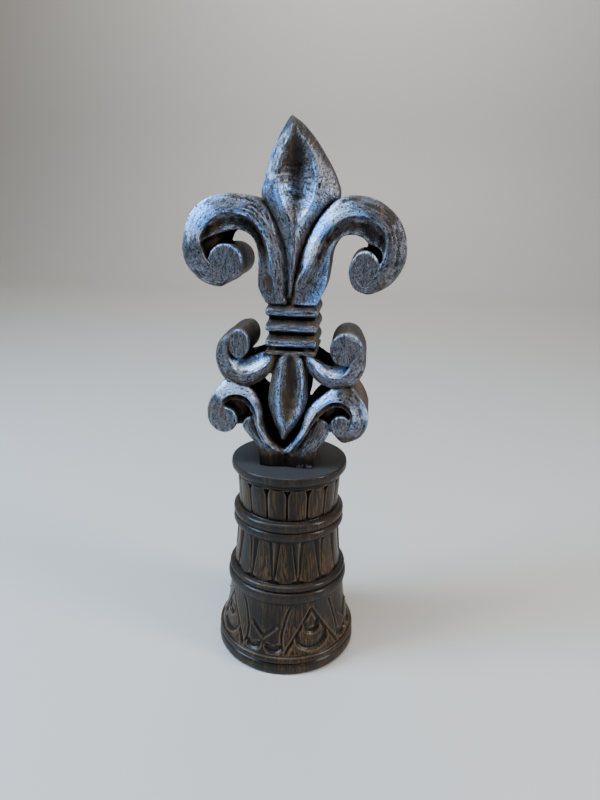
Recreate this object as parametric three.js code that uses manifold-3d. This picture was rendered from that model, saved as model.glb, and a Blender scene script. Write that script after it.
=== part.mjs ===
// Fleur-de-lis finial: a fleur-de-lis carved from one thick board, standing on a turned and carved pedestal.
// Millimetres, +Z up, front towards -Y, origin on the table at the pedestal's axis.
import * as THREE from "three";
import { mergeVertices } from "three/addons/utils/BufferGeometryUtils.js";
import Module from "manifold-3d";

const wasm = await Module();
wasm.setup();

// Pedestal, heights from the table up
const plinthHeight = 9.2;
const baseBeadHeight = 5.6;
const lowerDrumHeight = 41.7;
const lowerRingHeight = 15;
const middleDrumHeight = 34.8;
const upperRingHeight = 16;
const upperDrumHeight = 25.2;
const coveHeight = 4;
const discHeight = 7.5;

// Pedestal, radii
const footRadius = 52.7;
const plinthRadius = 55.7;
const baseBeadRadius = 55.3;
const lowerDrumFootRadius = 53.3;
const lowerDrumTopRadius = 45.9;
const lowerRingRadius = 47.6;
const lowerRingUpperBeadRadius = 46.3;
const middleDrumFootRadius = 42.4;
const middleDrumTopRadius = 38.9;
const upperRingRadius = 43.3;
const upperDrumFootRadius = 38.3;
const upperDrumTopRadius = 39.8;
const discRadius = 44.5;

// Pedestal, mouldings: creases, eased edges, and how the heights are shared out
const creaseDepth = 1.4;
const creaseWidth = 0.2;
const plinthEase = 0.3;
const lowerDrumFlare = 2.2;
const lowerDrumLevels = [0.18, 0.5];
const lowerBeadShare = 0.62;
const upperBeadShare = 0.48;
const ringShelf = 1;
const discUndercut = 2.4;
const discEase = 1.5;

// Pedestal, carving: depths and widths, and the turn of each pattern round the axis in degrees
const tongueCount = 16;
const tongueGrooveDepth = 2.6;
const tongueTurn = 4.9;
const dartCount = 14;
const dartRise = 1.3;
const dartGrooveDepth = 1.1;
const dartTurn = 16.1;
const leafCount = 4;
const veinWidth = 2.6;
const veinDepth = 1.5;
const scoopDepth = 2;
const scoopWidth = 5.4;
const scoopWall = 0.4;
const leafTurn = -103.5;

// Pedestal, carving as shares of its drum's height or of half a repeat
const dartPointShare = 0.08;
const dartPointWidth = 0.08;
const dartWidth = 0.42;
const archFootShare = 0.25;
const archHeadShare = 0.06;
const tongueCrown = 0.4;
const tongueEdge = 0.8;

// Lower drum's carving lines: [degrees beside the middle of the leaf or arch, share of the drum's height]
const leafEdge = [[25, 0.97], [16.2, 0.45], [16.5, 0.12]];
const leafNotch = [[12, 0.52], [-0.6, 0.29]];
const archLeg = [[24.5, 0.14], [-0.6, 0.86]];
const leafLobe = { middle: 8.3, rise: 0.13, halfWidth: 6.8, drop: 0.08, steps: 3 };
const innerScale = { middle: 0, rise: 0.51, halfWidth: 7.5, drop: 0.135, steps: 3 };
const outerScale = { middle: 0, rise: 0.32, halfWidth: 15.5, drop: 0.25, steps: 4 };

// Fleur-de-lis
const fleurHeight = 239;
const boardThickness = 51.2;
const fleurShift = 2;
const edgeBevel = 4;
const channelDepth = 7;
const lipDepth = 3;
const petalBevel = 8;
const petalScoopDepth = 7;
const leafBevel = 5;
const leafScoopDepth = 5;
const lobeBevel = 4;
const eyeSink = 1;
const eyeRounding = 1.6;
const backBevel = 3;
const collarGrooveDepth = 4;
const scrollEndSink = 1.4;
const slopeDepth = 8.5;
const footSink = 2.5;
const webSink = 14;
const webBackSink = 6;

// How finely the round stretches are cut, and what counts as one height or as on the axis
const turnedSides = 36;
const eyeSides = 16;
const columnsPerTongue = 5;
const columnsPerDart = 4;
const smallestEdge = 0.35;
const nearby = 0.1;
const atAxis = 1;

// Fleur-de-lis, carving as shares: where a band's ridge starts to sink at its end, where a band has risen
// out of the foot, the width at which its channel has its full depth in hundredths of the height, the
// deepest line across the channel, the flat of an eye, the crest of a lobe, and the collar's grooves on its
// sides against those on its faces
const scrollEndFrom = 0.75;
const footSinkTo = 0.12;
const fullChannel = 3.4;
const channelMiddle = 0.42;
const eyeFlat = 0.9;
const lobeCrest = 0.4;
const sideGrooveShare = 0.5;

const brownWood = { color: 0x4a3424, roughness: 0.42, metalness: 0 };
const silveredWood = { color: 0x6d7078, roughness: 0.4, metalness: 0.35 };

// Closed solid from a geometry: shared corners are merged and flat slivers on an axis are dropped
function solidOf(geometry) {
  const bare = geometry.index ? geometry.clone() : geometry;
  bare.deleteAttribute("normal");
  bare.deleteAttribute("uv");
  const merged = mergeVertices(bare, 1e-4);
  const kept = [];
  for (let i = 0; i < merged.index.count; i += 3) {
    const [a, b, c] = [0, 1, 2].map((k) => merged.index.getX(i + k));
    if (a !== b && b !== c && c !== a) {
      kept.push(a, b, c);
    }
  }
  const vertProperties = new Float32Array(merged.attributes.position.array);
  const triVerts = new Uint32Array(outwards(vertProperties, kept));
  return new wasm.Manifold(new wasm.Mesh({ numProp: 3, vertProperties, triVerts }));
}

// Triangles turned so that the body they close has a positive volume
function outwards(positions, triangles) {
  const corner = (k) => new THREE.Vector3().fromArray(positions, 3 * k);
  let sixVolumes = 0;
  for (let i = 0; i < triangles.length; i += 3) {
    const [a, b, c] = triangles.slice(i, i + 3).map(corner);
    sixVolumes += a.dot(b.cross(c));
  }
  return sixVolumes > 0 ? triangles : triangles.slice().reverse();
}

function joined(solids) {
  return solids.reduce((whole, solid) => whole.add(solid));
}

function geometryOf(solid) {
  const { vertProperties, triVerts, numProp } = solid.getMesh();
  const geometry = new THREE.BufferGeometry();
  const positions = new THREE.InterleavedBuffer(vertProperties, numProp);
  geometry.setAttribute("position", new THREE.InterleavedBufferAttribute(positions, 3, 0));
  geometry.setIndex(new THREE.BufferAttribute(triVerts, 1));
  return geometry;
}

function namedMesh(name, solid, look) {
  const mesh = new THREE.Mesh(geometryOf(solid), new THREE.MeshStandardMaterial(look));
  mesh.name = name;
  return mesh;
}

// Closed body through a row of sections that have the same number of corners, with flat ends
function loft(sections) {
  const corners = sections[0].length;
  const triangles = [];
  for (let i = 0; i + 1 < sections.length; i += 1) {
    for (let j = 0; j < corners; j += 1) {
      const next = (j + 1) % corners;
      const [a, b] = [i * corners + j, i * corners + next];
      const [c, d] = [a + corners, b + corners];
      triangles.push(a, b, c, b, d, c);
    }
  }
  const last = (sections.length - 1) * corners;
  for (const [a, b, c] of capTriangles(sections[0])) {
    triangles.push(c, b, a);
  }
  for (const [a, b, c] of capTriangles(sections[sections.length - 1])) {
    triangles.push(last + a, last + b, last + c);
  }
  const geometry = new THREE.BufferGeometry().setFromPoints(sections.flat());
  geometry.setIndex(triangles);
  return geometry;
}

// Triangles of one end, all wound the way its corners run
function capTriangles(section) {
  const origin = section[0];
  const across = farthestFrom(section, origin).clone().sub(origin).normalize();
  const side = section.map((point) => point.clone().sub(origin).projectOnPlane(across));
  const furthest = side.reduce((best, point) => (point.length() > best.length() ? point : best));
  const up = furthest.clone().normalize();
  const flat = section.map((point) => {
    const offset = point.clone().sub(origin);
    return new THREE.Vector2(offset.dot(across), offset.dot(up));
  });
  const turn = Math.sign(THREE.ShapeUtils.area(flat));
  return THREE.ShapeUtils.triangulateShape(flat, []).map(([a, b, c]) => {
    const same = Math.sign(THREE.ShapeUtils.area([flat[a], flat[b], flat[c]])) === turn;
    return same ? [a, b, c] : [a, c, b];
  });
}

function farthestFrom(points, origin) {
  return points.reduce((best, point) => (point.distanceTo(origin) > best.distanceTo(origin) ? point : best));
}

// Pedestal

const lowerDrumFoot = plinthHeight + baseBeadHeight;
const lowerDrumTop = lowerDrumFoot + lowerDrumHeight;
const middleDrumFoot = lowerDrumTop + lowerRingHeight;
const middleDrumTop = middleDrumFoot + middleDrumHeight;
const upperDrumFoot = middleDrumTop + upperRingHeight;
const upperDrumTop = upperDrumFoot + upperDrumHeight;
const discUnderside = upperDrumTop + coveHeight;
const pedestalHeight = discUnderside + discHeight;

// Turned surface about the pedestal's axis from a profile of [radius, height] pairs, closed to the axis
function turned(profile, sides) {
  const foot = [0, profile[0][1]];
  const head = [0, profile[profile.length - 1][1]];
  const points = [foot, ...profile, head].map(([radius, height]) => new THREE.Vector2(radius, height));
  return new THREE.LatheGeometry(points, sides).rotateX(Math.PI / 2);
}

// Half-round bead between two heights, a little flattened, from its root radius out to its crest
function bead(root, crest, low, high) {
  const steps = 3;
  const flattening = 1.15;
  const profile = [];
  for (let i = 0; i <= steps; i += 1) {
    const swing = Math.PI * (i / steps);
    const height = THREE.MathUtils.lerp(low, high, (1 - Math.cos(swing)) / 2);
    const swell = Math.min(1, flattening * Math.sin(swing));
    profile.push([THREE.MathUtils.lerp(root, crest, swell), height]);
  }
  return profile;
}

function lowerDrumRadius(height) {
  const rise = THREE.MathUtils.clamp((height - lowerDrumFoot) / lowerDrumHeight, 0, 1);
  return lowerDrumTopRadius + (lowerDrumFootRadius - lowerDrumTopRadius) * (1 - rise) ** lowerDrumFlare;
}

function middleDrumRadius(height) {
  const rise = (height - middleDrumFoot) / middleDrumHeight;
  return THREE.MathUtils.lerp(middleDrumFootRadius, middleDrumTopRadius, rise);
}

function upperDrumRadius(height) {
  const rise = (height - upperDrumFoot) / upperDrumHeight;
  return THREE.MathUtils.lerp(upperDrumFootRadius, upperDrumTopRadius, rise);
}

// Plinth with a rounded foot, a bead on it, the flared lower drum and the double ring that crowns it
function lowerProfile() {
  const footRounding = plinthRadius - footRadius;
  const crease = lowerDrumTop + lowerBeadShare * lowerRingHeight;
  const drumLevels = lowerDrumLevels.map((rise) => lowerDrumFoot + rise * lowerDrumHeight);
  const upperBeadRoot = lowerRingUpperBeadRadius - creaseDepth;
  return [
    [footRadius, 0],
    [plinthRadius, footRounding],
    [plinthRadius - plinthEase, plinthHeight - footRounding],
    ...bead(baseBeadRadius - creaseDepth, baseBeadRadius, plinthHeight, lowerDrumFoot),
    ...drumLevels.map((height) => [lowerDrumRadius(height), height]),
    ...bead(lowerDrumTopRadius, lowerRingRadius, lowerDrumTop, crease),
    ...bead(upperBeadRoot, lowerRingUpperBeadRadius, crease + creaseWidth, middleDrumFoot),
  ];
}

// Carved turned surface: each corner is raised and turned by its place in the carving, then the whole is
// turned by some degrees
function carved(profile, sides, carve, degrees) {
  const geometry = turned(profile, sides);
  const position = geometry.attributes.position;
  for (let i = 0; i < position.count; i += 1) {
    const radius = Math.hypot(position.getX(i), position.getY(i));
    const angle = Math.atan2(position.getY(i), position.getX(i));
    const { raise, turn } = carve(angle, position.getZ(i));
    if (radius > atAxis) {
      position.setX(i, (radius + raise) * Math.cos(angle + turn));
      position.setY(i, (radius + raise) * Math.sin(angle + turn));
    }
  }
  return solidOf(geometry.rotateZ(THREE.MathUtils.degToRad(degrees)));
}

// Place across one repeat of a pattern, from -1 at one side through 0 in its middle to 1 at the other
function acrossRepeat(angle, count) {
  const turns = (angle / (2 * Math.PI)) * count;
  const part = turns - Math.floor(turns + 1e-6);
  return 2 * part - 1;
}

// Middle drum: hanging darts with a sharp arris, tapering to a point, with flat panels between them
function middlePart() {
  const pointHeight = middleDrumFoot + dartPointShare * middleDrumHeight;
  const levels = [middleDrumFoot, pointHeight, middleDrumTop];
  const profile = levels.map((height) => [middleDrumRadius(height), height]);
  const halfRepeat = Math.PI / dartCount;
  return carved(profile, dartCount * columnsPerDart, (angle, height) => {
    const across = acrossRepeat(angle, dartCount);
    const column = Math.round(Math.abs(across) * (columnsPerDart / 2));
    const fade = height < pointHeight - nearby ? 0 : 1;
    if (column === 0) {
      return { raise: dartRise * fade, turn: 0 };
    }
    if (column === 1) {
      const halfWidth = height < middleDrumTop - nearby ? dartPointWidth : dartWidth;
      const edge = Math.sign(across) * halfWidth;
      return { raise: -dartGrooveDepth * fade, turn: (edge - across) * halfRepeat };
    }
    return { raise: 0, turn: 0 };
  }, dartTurn);
}

// Double ring, the upper drum between the levels of its carving, and the disc on top
function upperProfile(archFoot, archHead) {
  const crease = middleDrumTop + upperBeadShare * upperRingHeight;
  const upperBeadTop = upperDrumFoot - ringShelf;
  const drumLevels = [upperDrumFoot, archFoot, archHead, upperDrumTop];
  return [
    ...bead(middleDrumTopRadius + creaseDepth, upperRingRadius, middleDrumTop, crease),
    ...bead(upperRingRadius - creaseDepth, upperRingRadius, crease + creaseWidth, upperBeadTop).slice(0, -1),
    ...drumLevels.map((height) => [upperDrumRadius(height), height]),
    [discRadius - discUndercut, discUnderside],
    [discRadius, discUnderside + discUndercut],
    [discRadius, pedestalHeight - discEase],
    [discRadius - discEase, pedestalHeight],
  ];
}

// Upper part: a double ring, the drum of tongues with deep grooves that open out above them, and the disc
function upperPart() {
  const archFoot = upperDrumTop - archFootShare * upperDrumHeight;
  const archHead = upperDrumTop - archHeadShare * upperDrumHeight;
  const halfRepeat = Math.PI / tongueCount;
  const grooveColumn = Math.floor(columnsPerTongue / 2) + 1;
  const profile = upperProfile(archFoot, archHead);
  return carved(profile, tongueCount * columnsPerTongue, (angle, height) => {
    if (height < upperDrumFoot - nearby || height > upperDrumTop + nearby) {
      return { raise: 0, turn: 0 };
    }
    const across = acrossRepeat(angle, tongueCount);
    const column = Math.ceil(Math.abs(across) * (columnsPerTongue / 2) - nearby);
    if (column === grooveColumn) {
      return { raise: -tongueGrooveDepth, turn: 0 };
    }
    const cut = height > archHead + nearby || (column === grooveColumn - 1 && height > archFoot + nearby);
    const edge = Math.sign(across) * (column === 1 ? tongueCrown : tongueEdge);
    return { raise: cut ? -tongueGrooveDepth : 0, turn: (edge - across) * halfRepeat };
  }, tongueTurn);
}

// Point on the lower drum's surface, or lifted off it: angle in degrees round the axis
function onLowerDrum(degrees, height, lift) {
  const radius = lowerDrumRadius(height) + lift;
  const angle = THREE.MathUtils.degToRad(degrees);
  return new THREE.Vector3(radius * Math.cos(angle), radius * Math.sin(angle), height);
}

// Tool that follows a path of [degrees, height] points on the lower drum. It is deepest on the path and
// runs out to the surface over one width on the left of the path and another on its right.
function chisel(path, leftWidth, rightWidth, depth) {
  const clear = 0.8;
  const mmPerDegree = THREE.MathUtils.degToRad(lowerDrumTopRadius);
  const sections = path.map(([degrees, height], i) => {
    const before = path[Math.max(i - 1, 0)];
    const after = path[Math.min(i + 1, path.length - 1)];
    const along = new THREE.Vector2((after[0] - before[0]) * mmPerDegree, after[1] - before[1]).normalize();
    const shifted = (width, lift) =>
      onLowerDrum(degrees - (along.y * width) / mmPerDegree, height + along.x * width, lift);
    return [shifted(leftWidth, clear), shifted(0, -depth), shifted(-rightWidth, clear)];
  });
  return solidOf(loft(sections));
}

// Carving line on one side of a middle line, as a path of [degrees, height] points
function carvingPath(line, middle, side) {
  return line.map(([beside, rise]) => [middle + side * beside, lowerDrumFoot + rise * lowerDrumHeight]);
}

// Scoop with a U-shaped lower edge, like a fish scale
function scaleCut({ middle, rise, halfWidth, drop, steps }, leafOrArch, side) {
  const path = [];
  for (let i = 0; i <= steps; i += 1) {
    const swing = Math.PI * (i / steps);
    const height = lowerDrumFoot + (rise - drop * Math.sin(swing)) * lowerDrumHeight;
    path.push([leafOrArch + side * middle - halfWidth * Math.cos(swing), height]);
  }
  return chisel(path, scoopWidth, scoopWall, scoopDepth);
}

// Lower part, with hanging leaves that have a notched tip, and pointed arches between them that hold two
// nested scales each
function lowerPart() {
  const halfVein = veinWidth / 2;
  const cuts = [];
  for (let i = 0; i < leafCount; i += 1) {
    const leaf = leafTurn + (360 * i) / leafCount;
    const arch = leaf + 180 / leafCount;
    for (const side of [-1, 1]) {
      const leftWidth = side > 0 ? scoopWall : scoopWidth;
      const rightWidth = side > 0 ? scoopWidth : scoopWall;
      cuts.push(chisel(carvingPath(leafEdge, leaf, side), halfVein, halfVein, veinDepth));
      cuts.push(chisel(carvingPath(archLeg, arch, side), halfVein, halfVein, veinDepth));
      cuts.push(chisel(carvingPath(leafNotch, leaf, side), leftWidth, rightWidth, scoopDepth));
      cuts.push(scaleCut(leafLobe, leaf, side));
    }
    cuts.push(scaleCut(innerScale, arch, 1));
    cuts.push(scaleCut(outerScale, arch, 1));
  }
  const plain = solidOf(turned(lowerProfile(), turnedSides));
  return plain.subtract(joined(cuts));
}

function pedestal() {
  return joined([lowerPart(), middlePart(), upperPart()]).simplify(smallestEdge);
}

// Fleur-de-lis. Its outline and carving lines are points [across, up] in hundredths of its own height, from
// the middle of its foot. The carved depths are real sizes, behind the front face of the board.

const share = fleurHeight / 100;
const frontFace = -boardThickness / 2;
const backFace = boardThickness / 2;

function place([across, up], depthY) {
  return new THREE.Vector3(across * share, depthY, up * share);
}

function between(a, b, ratio) {
  return [THREE.MathUtils.lerp(a[0], b[0], ratio), THREE.MathUtils.lerp(a[1], b[1], ratio)];
}

function gap(a, b) {
  return Math.hypot(a[0] - b[0], a[1] - b[1]);
}

// Smooth line through a few points, read at even steps
function lineThrough(points, steps) {
  const curve = new THREE.SplineCurve(points.map(([across, up]) => new THREE.Vector2(across, up)));
  const line = [];
  for (let i = 0; i <= steps; i += 1) {
    line.push(curve.getPoint(i / steps).toArray());
  }
  return line;
}

// Scroll band: a bevel from the outer edge up to the ridge, then a channel down and up again to the inner
// lip, or one slope down to it. A band may rise out of the foot.
function scrollBand({ steps, sloped, fromFoot, outer, ridge, inner }) {
  const [channel, lip] = sloped ? [slopeDepth * channelMiddle, slopeDepth] : [channelDepth, lipDepth];
  const startSink = fromFoot ? footSink : 0;
  const lines = [outer, ridge, inner].map((points) => lineThrough(points, steps));
  const sections = lines[0].map((outerPoint, i) => {
    const ridgePoint = lines[1][i];
    const innerPoint = lines[2][i];
    const fill = Math.min(1, gap(ridgePoint, innerPoint) / fullChannel);
    const start = startSink * (1 - THREE.MathUtils.smoothstep(i / steps, 0, footSinkTo));
    const sunk = start + scrollEndSink * THREE.MathUtils.smoothstep(i / steps, scrollEndFrom, 1);
    return [
      place(outerPoint, frontFace + edgeBevel),
      place(ridgePoint, frontFace + sunk),
      place(between(ridgePoint, innerPoint, channelMiddle), frontFace + sunk + channel * fill),
      place(innerPoint, frontFace + sunk + lip * fill),
      place(innerPoint, backFace - backBevel),
      place(between(outerPoint, innerPoint, 0.5), backFace),
      place(outerPoint, backFace - backBevel),
    ];
  });
  return solidOf(loft(sections));
}

// Long pointed leaf: bevels from its edges up to two ridges, with a scoop between them
function scoopedLeaf({ steps, fullScoop, left, leftRidge, rightRidge, right }, bevel, scoop) {
  const lines = [left, leftRidge, rightRidge, right].map((points) => lineThrough(points, steps));
  const sections = lines[0].map((leftPoint, i) => {
    const [, leftTop, rightTop, rightPoint] = lines.map((line) => line[i]);
    const fill = Math.min(1, gap(leftTop, rightTop) / fullScoop) ** 2;
    return [
      place(leftPoint, frontFace + bevel),
      place(leftTop, frontFace),
      place(between(leftTop, rightTop, 0.5), frontFace + scoop * fill),
      place(rightTop, frontFace),
      place(rightPoint, frontFace + bevel),
      place(rightPoint, backFace - backBevel),
      place(between(leftPoint, rightPoint, 0.5), backFace),
      place(leftPoint, backFace - backBevel),
    ];
  });
  return solidOf(loft(sections));
}

// Wood left standing between two neighbours, well behind the front face and a little behind the back face.
// Its far end may lean to one side.
function web({ lean, outline }) {
  const far = outline.map(([across, up]) => [across + lean, up]);
  const front = outline.map((corner) => place(corner, frontFace + webSink));
  return solidOf(loft([front, far.map((corner) => place(corner, backFace - webBackSink))]));
}

// Round eye of a scroll, right through the board
function scrollEye({ across, up, halfWidth, halfHeight }) {
  const front = frontFace + eyeSink;
  const back = backFace - eyeSink;
  const profile = [
    [0, front],
    [eyeFlat, front],
    [1, front + eyeRounding],
    [1, back - eyeRounding],
    [eyeFlat, back],
    [0, back],
  ];
  const points = profile.map(([radius, depth]) => new THREE.Vector2(radius, depth));
  const geometry = new THREE.LatheGeometry(points, eyeSides).scale(halfWidth * share, 1, halfHeight * share);
  return solidOf(geometry.translate(across * share, 0, up * share));
}

// Collar round the waist: a stack of ribs that wraps the whole board, each sloping up to a narrow upright
// face. A level is [up, how much of the groove's depth is cut there].
function collar({ halfWidth, top, firstGroove, foot, footCut, ribCount, ribPitch, ribSlope, ribFace }) {
  const levels = [[top, 1]];
  for (let i = 0; i < ribCount; i += 1) {
    const groove = firstGroove - i * ribPitch;
    const crest = groove - ribSlope * ribPitch;
    levels.push([groove, 1], [crest, 0], [crest - ribFace * ribPitch, 0]);
  }
  levels.push([firstGroove - ribCount * ribPitch, 1], [foot, footCut]);
  const sections = levels.map(([up, cut]) => {
    const x = halfWidth * share - sideGrooveShare * cut * collarGrooveDepth;
    const y = boardThickness / 2 - cut * collarGrooveDepth;
    const corners = [[-x, -y], [x, -y], [x, y], [-x, y]];
    return corners.map(([across, depth]) => new THREE.Vector3(across, depth, up * share));
  });
  return solidOf(loft(sections));
}

// Half of the foot, which flares up into a small round lobe
function footLobe({ steps, outer, inner }) {
  const lines = [outer, inner].map((points) => lineThrough(points, steps));
  const sections = lines[0].map((outerPoint, i) => {
    const innerPoint = lines[1][i];
    return [
      place(outerPoint, frontFace + lobeBevel),
      place(between(outerPoint, innerPoint, lobeCrest), frontFace + lobeBevel / 2),
      place(innerPoint, frontFace + lobeBevel),
      place(innerPoint, backFace - backBevel),
      place(outerPoint, backFace - backBevel),
    ];
  });
  return solidOf(loft(sections));
}

const leftArm = {
  steps: 21,
  outer: [[-1.1, 50.4], [-1.3, 55.9], [-1.8, 61.8], [-3.3, 67.3], [-5.6, 72.9], [-9.3, 78.3],
    [-14.6, 79.8],
    [-20.5, 79.8], [-26.2, 77.4], [-30.1, 72.8], [-31.6, 66.9], [-31.2, 62], [-28.9, 58.1], [-25.1, 55.3],
    [-20.5, 54.6], [-16.9, 57.3]],
  ridge: [[-3.3, 50.4], [-4.4, 56.1], [-5.9, 61.1], [-7, 66.3], [-8.6, 69.9], [-11.7, 73.4], [-15.9, 75],
    [-20.1, 74.8], [-23.6, 72.6], [-25.5, 69.9], [-26.3, 67.2], [-25.1, 63.8], [-23.7, 60.9], [-22.2, 58.2],
    [-19.9, 56.5], [-17.5, 58.2]],
  inner: [[-7.3, 50.4], [-9.6, 55.1], [-9.6, 60.6], [-10.1, 65.4], [-11.2, 68.1], [-13.4, 69.8],
    [-16.4, 70.4],
    [-20, 69.6], [-23.1, 68.4], [-25.4, 67.3], [-26.1, 66], [-24.9, 63.2], [-23.6, 60.8], [-22.1, 58.5],
    [-20, 57.1], [-18, 59]],
};

const rightArm = {
  steps: 22,
  outer: [[-0.2, 50.4], [0.2, 55.5], [1.7, 60.1], [3.2, 65.9], [5.3, 70.9], [8.2, 75.3], [12.7, 79.4],
    [18, 80],
    [23.5, 78.6], [28, 75], [30.7, 70.2], [31.4, 65.2], [30.4, 60.9], [27.7, 57], [24.1, 54.6], [20.5, 53.8],
    [17.4, 56.2]],
  ridge: [[1.7, 50.4], [1.9, 56.5], [4.2, 60.5], [6.1, 65.1], [8.3, 69.5], [11.5, 73.2], [15.3, 75],
    [19.2, 75.1], [22.6, 73.3], [25, 70.9], [25.5, 67.6], [25.2, 64.2], [24.7, 61.5], [23.6, 58.8],
    [22.2, 56.5], [20.3, 55.5], [18.1, 57.2]],
  inner: [[7.1, 50.4], [9.2, 55.1], [10, 60.1], [10.6, 64.6], [12.1, 67.7], [14, 69.4], [16.5, 69.8],
    [19, 69.2], [20.8, 67.6], [22.8, 66.9], [24.4, 65.6], [24.7, 63.7], [24.2, 61.5], [23.2, 58.9],
    [21.8, 56.8], [20.3, 56.1], [18.7, 58]],
};

const leftUpperVolute = {
  sloped: true,
  steps: 15,
  outer: [[-3.9, 37.6], [-4.7, 32.6], [-6.4, 29.4], [-9.5, 26.6], [-13.3, 25.2], [-17.1, 25.7],
    [-19.9, 27.3],
    [-21.8, 30.4], [-22.5, 33.9], [-21.9, 37.7], [-19.9, 40.6], [-17.1, 42.4], [-14.4, 42.1]],
  ridge: [[-4.8, 38.2], [-5.8, 33.8], [-7.9, 31.6], [-10.7, 30], [-13.2, 29.3], [-15.5, 29.8],
    [-17.4, 31.8],
    [-18.5, 34.1], [-19, 36.4], [-18.8, 38.7], [-17.8, 40.6], [-16.5, 41.7], [-14.7, 41.3]],
  inner: [[-6, 39], [-7.2, 35.9], [-9.2, 35.1], [-11.5, 34.1], [-13.6, 33.4], [-15.8, 33], [-17.2, 33.4],
    [-18.3, 34.8], [-18.7, 36.5], [-18.5, 38.2], [-17.6, 39.9], [-16.5, 40.9], [-15, 40.5]],
};

const rightUpperVolute = {
  sloped: true,
  steps: 16,
  outer: [[2.6, 37.6], [4, 33.1], [5.3, 30.7], [7.4, 28.3], [9.9, 26.6], [12.9, 25.9], [16.3, 26.1],
    [19.2, 27.6], [21.3, 30.5], [22, 33.9], [21.7, 36.9], [20.5, 39.6], [18.2, 42.2], [15.7, 42.3]],
  ridge: [[4, 38.4], [5.6, 34.7], [6.5, 33.5], [7.7, 31.7], [9.6, 30.1], [11.9, 29.4], [14.2, 29.4],
    [16.1, 30.8], [17.6, 33.3], [19, 35.1], [19.9, 37.2], [19.2, 39.5], [17.4, 41.5], [15.9, 41.4]],
  inner: [[5.4, 39], [6.6, 35.1], [8.3, 33.8], [10, 32.7], [12.1, 32], [14.6, 32], [16.1, 32.2],
    [17.3, 33.2], [18.2, 34.4], [19, 36.1], [19.2, 37.4], [18.4, 38.9], [17, 40.7], [16, 40.6]],
};

const leftLowerVolute = {
  fromFoot: true,
  steps: 20,
  outer: [[-1.6, 4.4], [-3.5, 6.4], [-5.4, 8.4], [-6.9, 11], [-8, 13.8], [-8.2, 16.6], [-8.8, 19.7],
    [-10.5, 23], [-13.2, 25.2], [-16.6, 26.4], [-20, 26.6], [-22.5, 23.9], [-24.4, 20.7], [-25.4, 16.7],
    [-24.9, 13.1], [-22.9, 10.9], [-20, 10], [-17.6, 11.6]],
  ridge: [[-4.2, 5.4], [-5.6, 6.7], [-7.3, 9], [-8.6, 11.7], [-9.4, 14.2], [-9.8, 16.7], [-10.5, 19],
    [-11.7, 20.9], [-13.4, 22.4], [-15.9, 23], [-18.4, 22.5], [-20.2, 20.9], [-20.7, 19], [-20.9, 17.2],
    [-20.8, 15.1], [-20.6, 13.4], [-19.7, 12.1], [-18.1, 12.3]],
  inner: [[-6.1, 4.5], [-6.9, 6.2], [-8.4, 8.7], [-9.6, 11.5], [-10.5, 13.8], [-10.9, 15.9],
    [-11.7, 17.8],
    [-12.8, 19.3], [-14.3, 20.4], [-16.2, 20.9], [-18.3, 20.6], [-19.8, 19.6], [-20.4, 18.2], [-20.6, 16.7],
    [-20.6, 14.6], [-20.4, 13.4], [-19.6, 12.6], [-18.5, 13]],
};

const rightLowerVolute = {
  fromFoot: true,
  steps: 21,
  outer: [[-2.6, 4.3], [-0.2, 6.9], [1.8, 9.6], [3.2, 12.1], [4.1, 14.9], [4.8, 17.6], [6.4, 20.3],
    [8.7, 22.6], [11.4, 24.9], [14.6, 26.6], [18, 26.7], [20.5, 23.9], [22.4, 20.9], [23.6, 17.4],
    [23.2, 14], [21.6, 11.2], [18.8, 9.6], [15.9, 9.1], [13.2, 11.8]],
  ridge: [[0, 5], [1.7, 7.5], [3.6, 10.3], [4.8, 12.6], [5.9, 14.9], [7.1, 17.2], [8.6, 19.1],
    [10.5, 20.8], [12.8, 22.1], [15.3, 22.1], [17.4, 20.9], [18.8, 19], [19, 17.2], [18.8, 15.5],
    [18.4, 13.8], [17.6, 12.6], [16.7, 11.9], [15.5, 11.7], [13.9, 13]],
  inner: [[1.1, 4.1], [2.8, 7], [4.5, 10], [6, 12.5], [7.2, 14.6], [8.5, 16.5], [10, 18],
    [11.4, 19.3], [13.3, 20.2], [15.2, 20.3], [16.9, 19.4], [18.1, 18], [18.4, 16.5], [18, 15],
    [17.6, 13.6], [17, 12.8], [16.3, 12.3], [15.3, 12.2], [14.5, 13.6]],
};

const petal = {
  steps: 16,
  fullScoop: 9,
  left: [[-1.4, 99.9], [-3.2, 97.1], [-6.2, 91.5], [-8.4, 84.7], [-9.2, 79.2], [-6.8, 74], [-4.9, 68.9],
    [-3.2, 63.4], [-2, 57.4], [-1.3, 51]],
  leftRidge: [[-0.8, 98.3], [-0.6, 95], [-2.5, 91.2], [-4.1, 85.8], [-4.2, 81.6], [-3, 77.2],
    [-1.2, 73.6], [0.1, 68.2], [0, 61.5], [-0.8, 53]],
  rightRidge: [[-0.3, 98.3], [1, 95], [4, 91.2], [5.9, 85.4], [5.9, 81.2], [4.4, 76.6], [2.1, 73],
    [0.9, 68.2], [0.6, 61.5], [-0.3, 53]],
  right: [[-1, 99.9], [2.8, 97.1], [7.1, 91.5], [10.5, 85.6], [12, 80.2], [9, 76.2], [5.6, 70.6],
    [2.8, 64.6], [0.9, 58.2], [-0.1, 51]],
};

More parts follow.
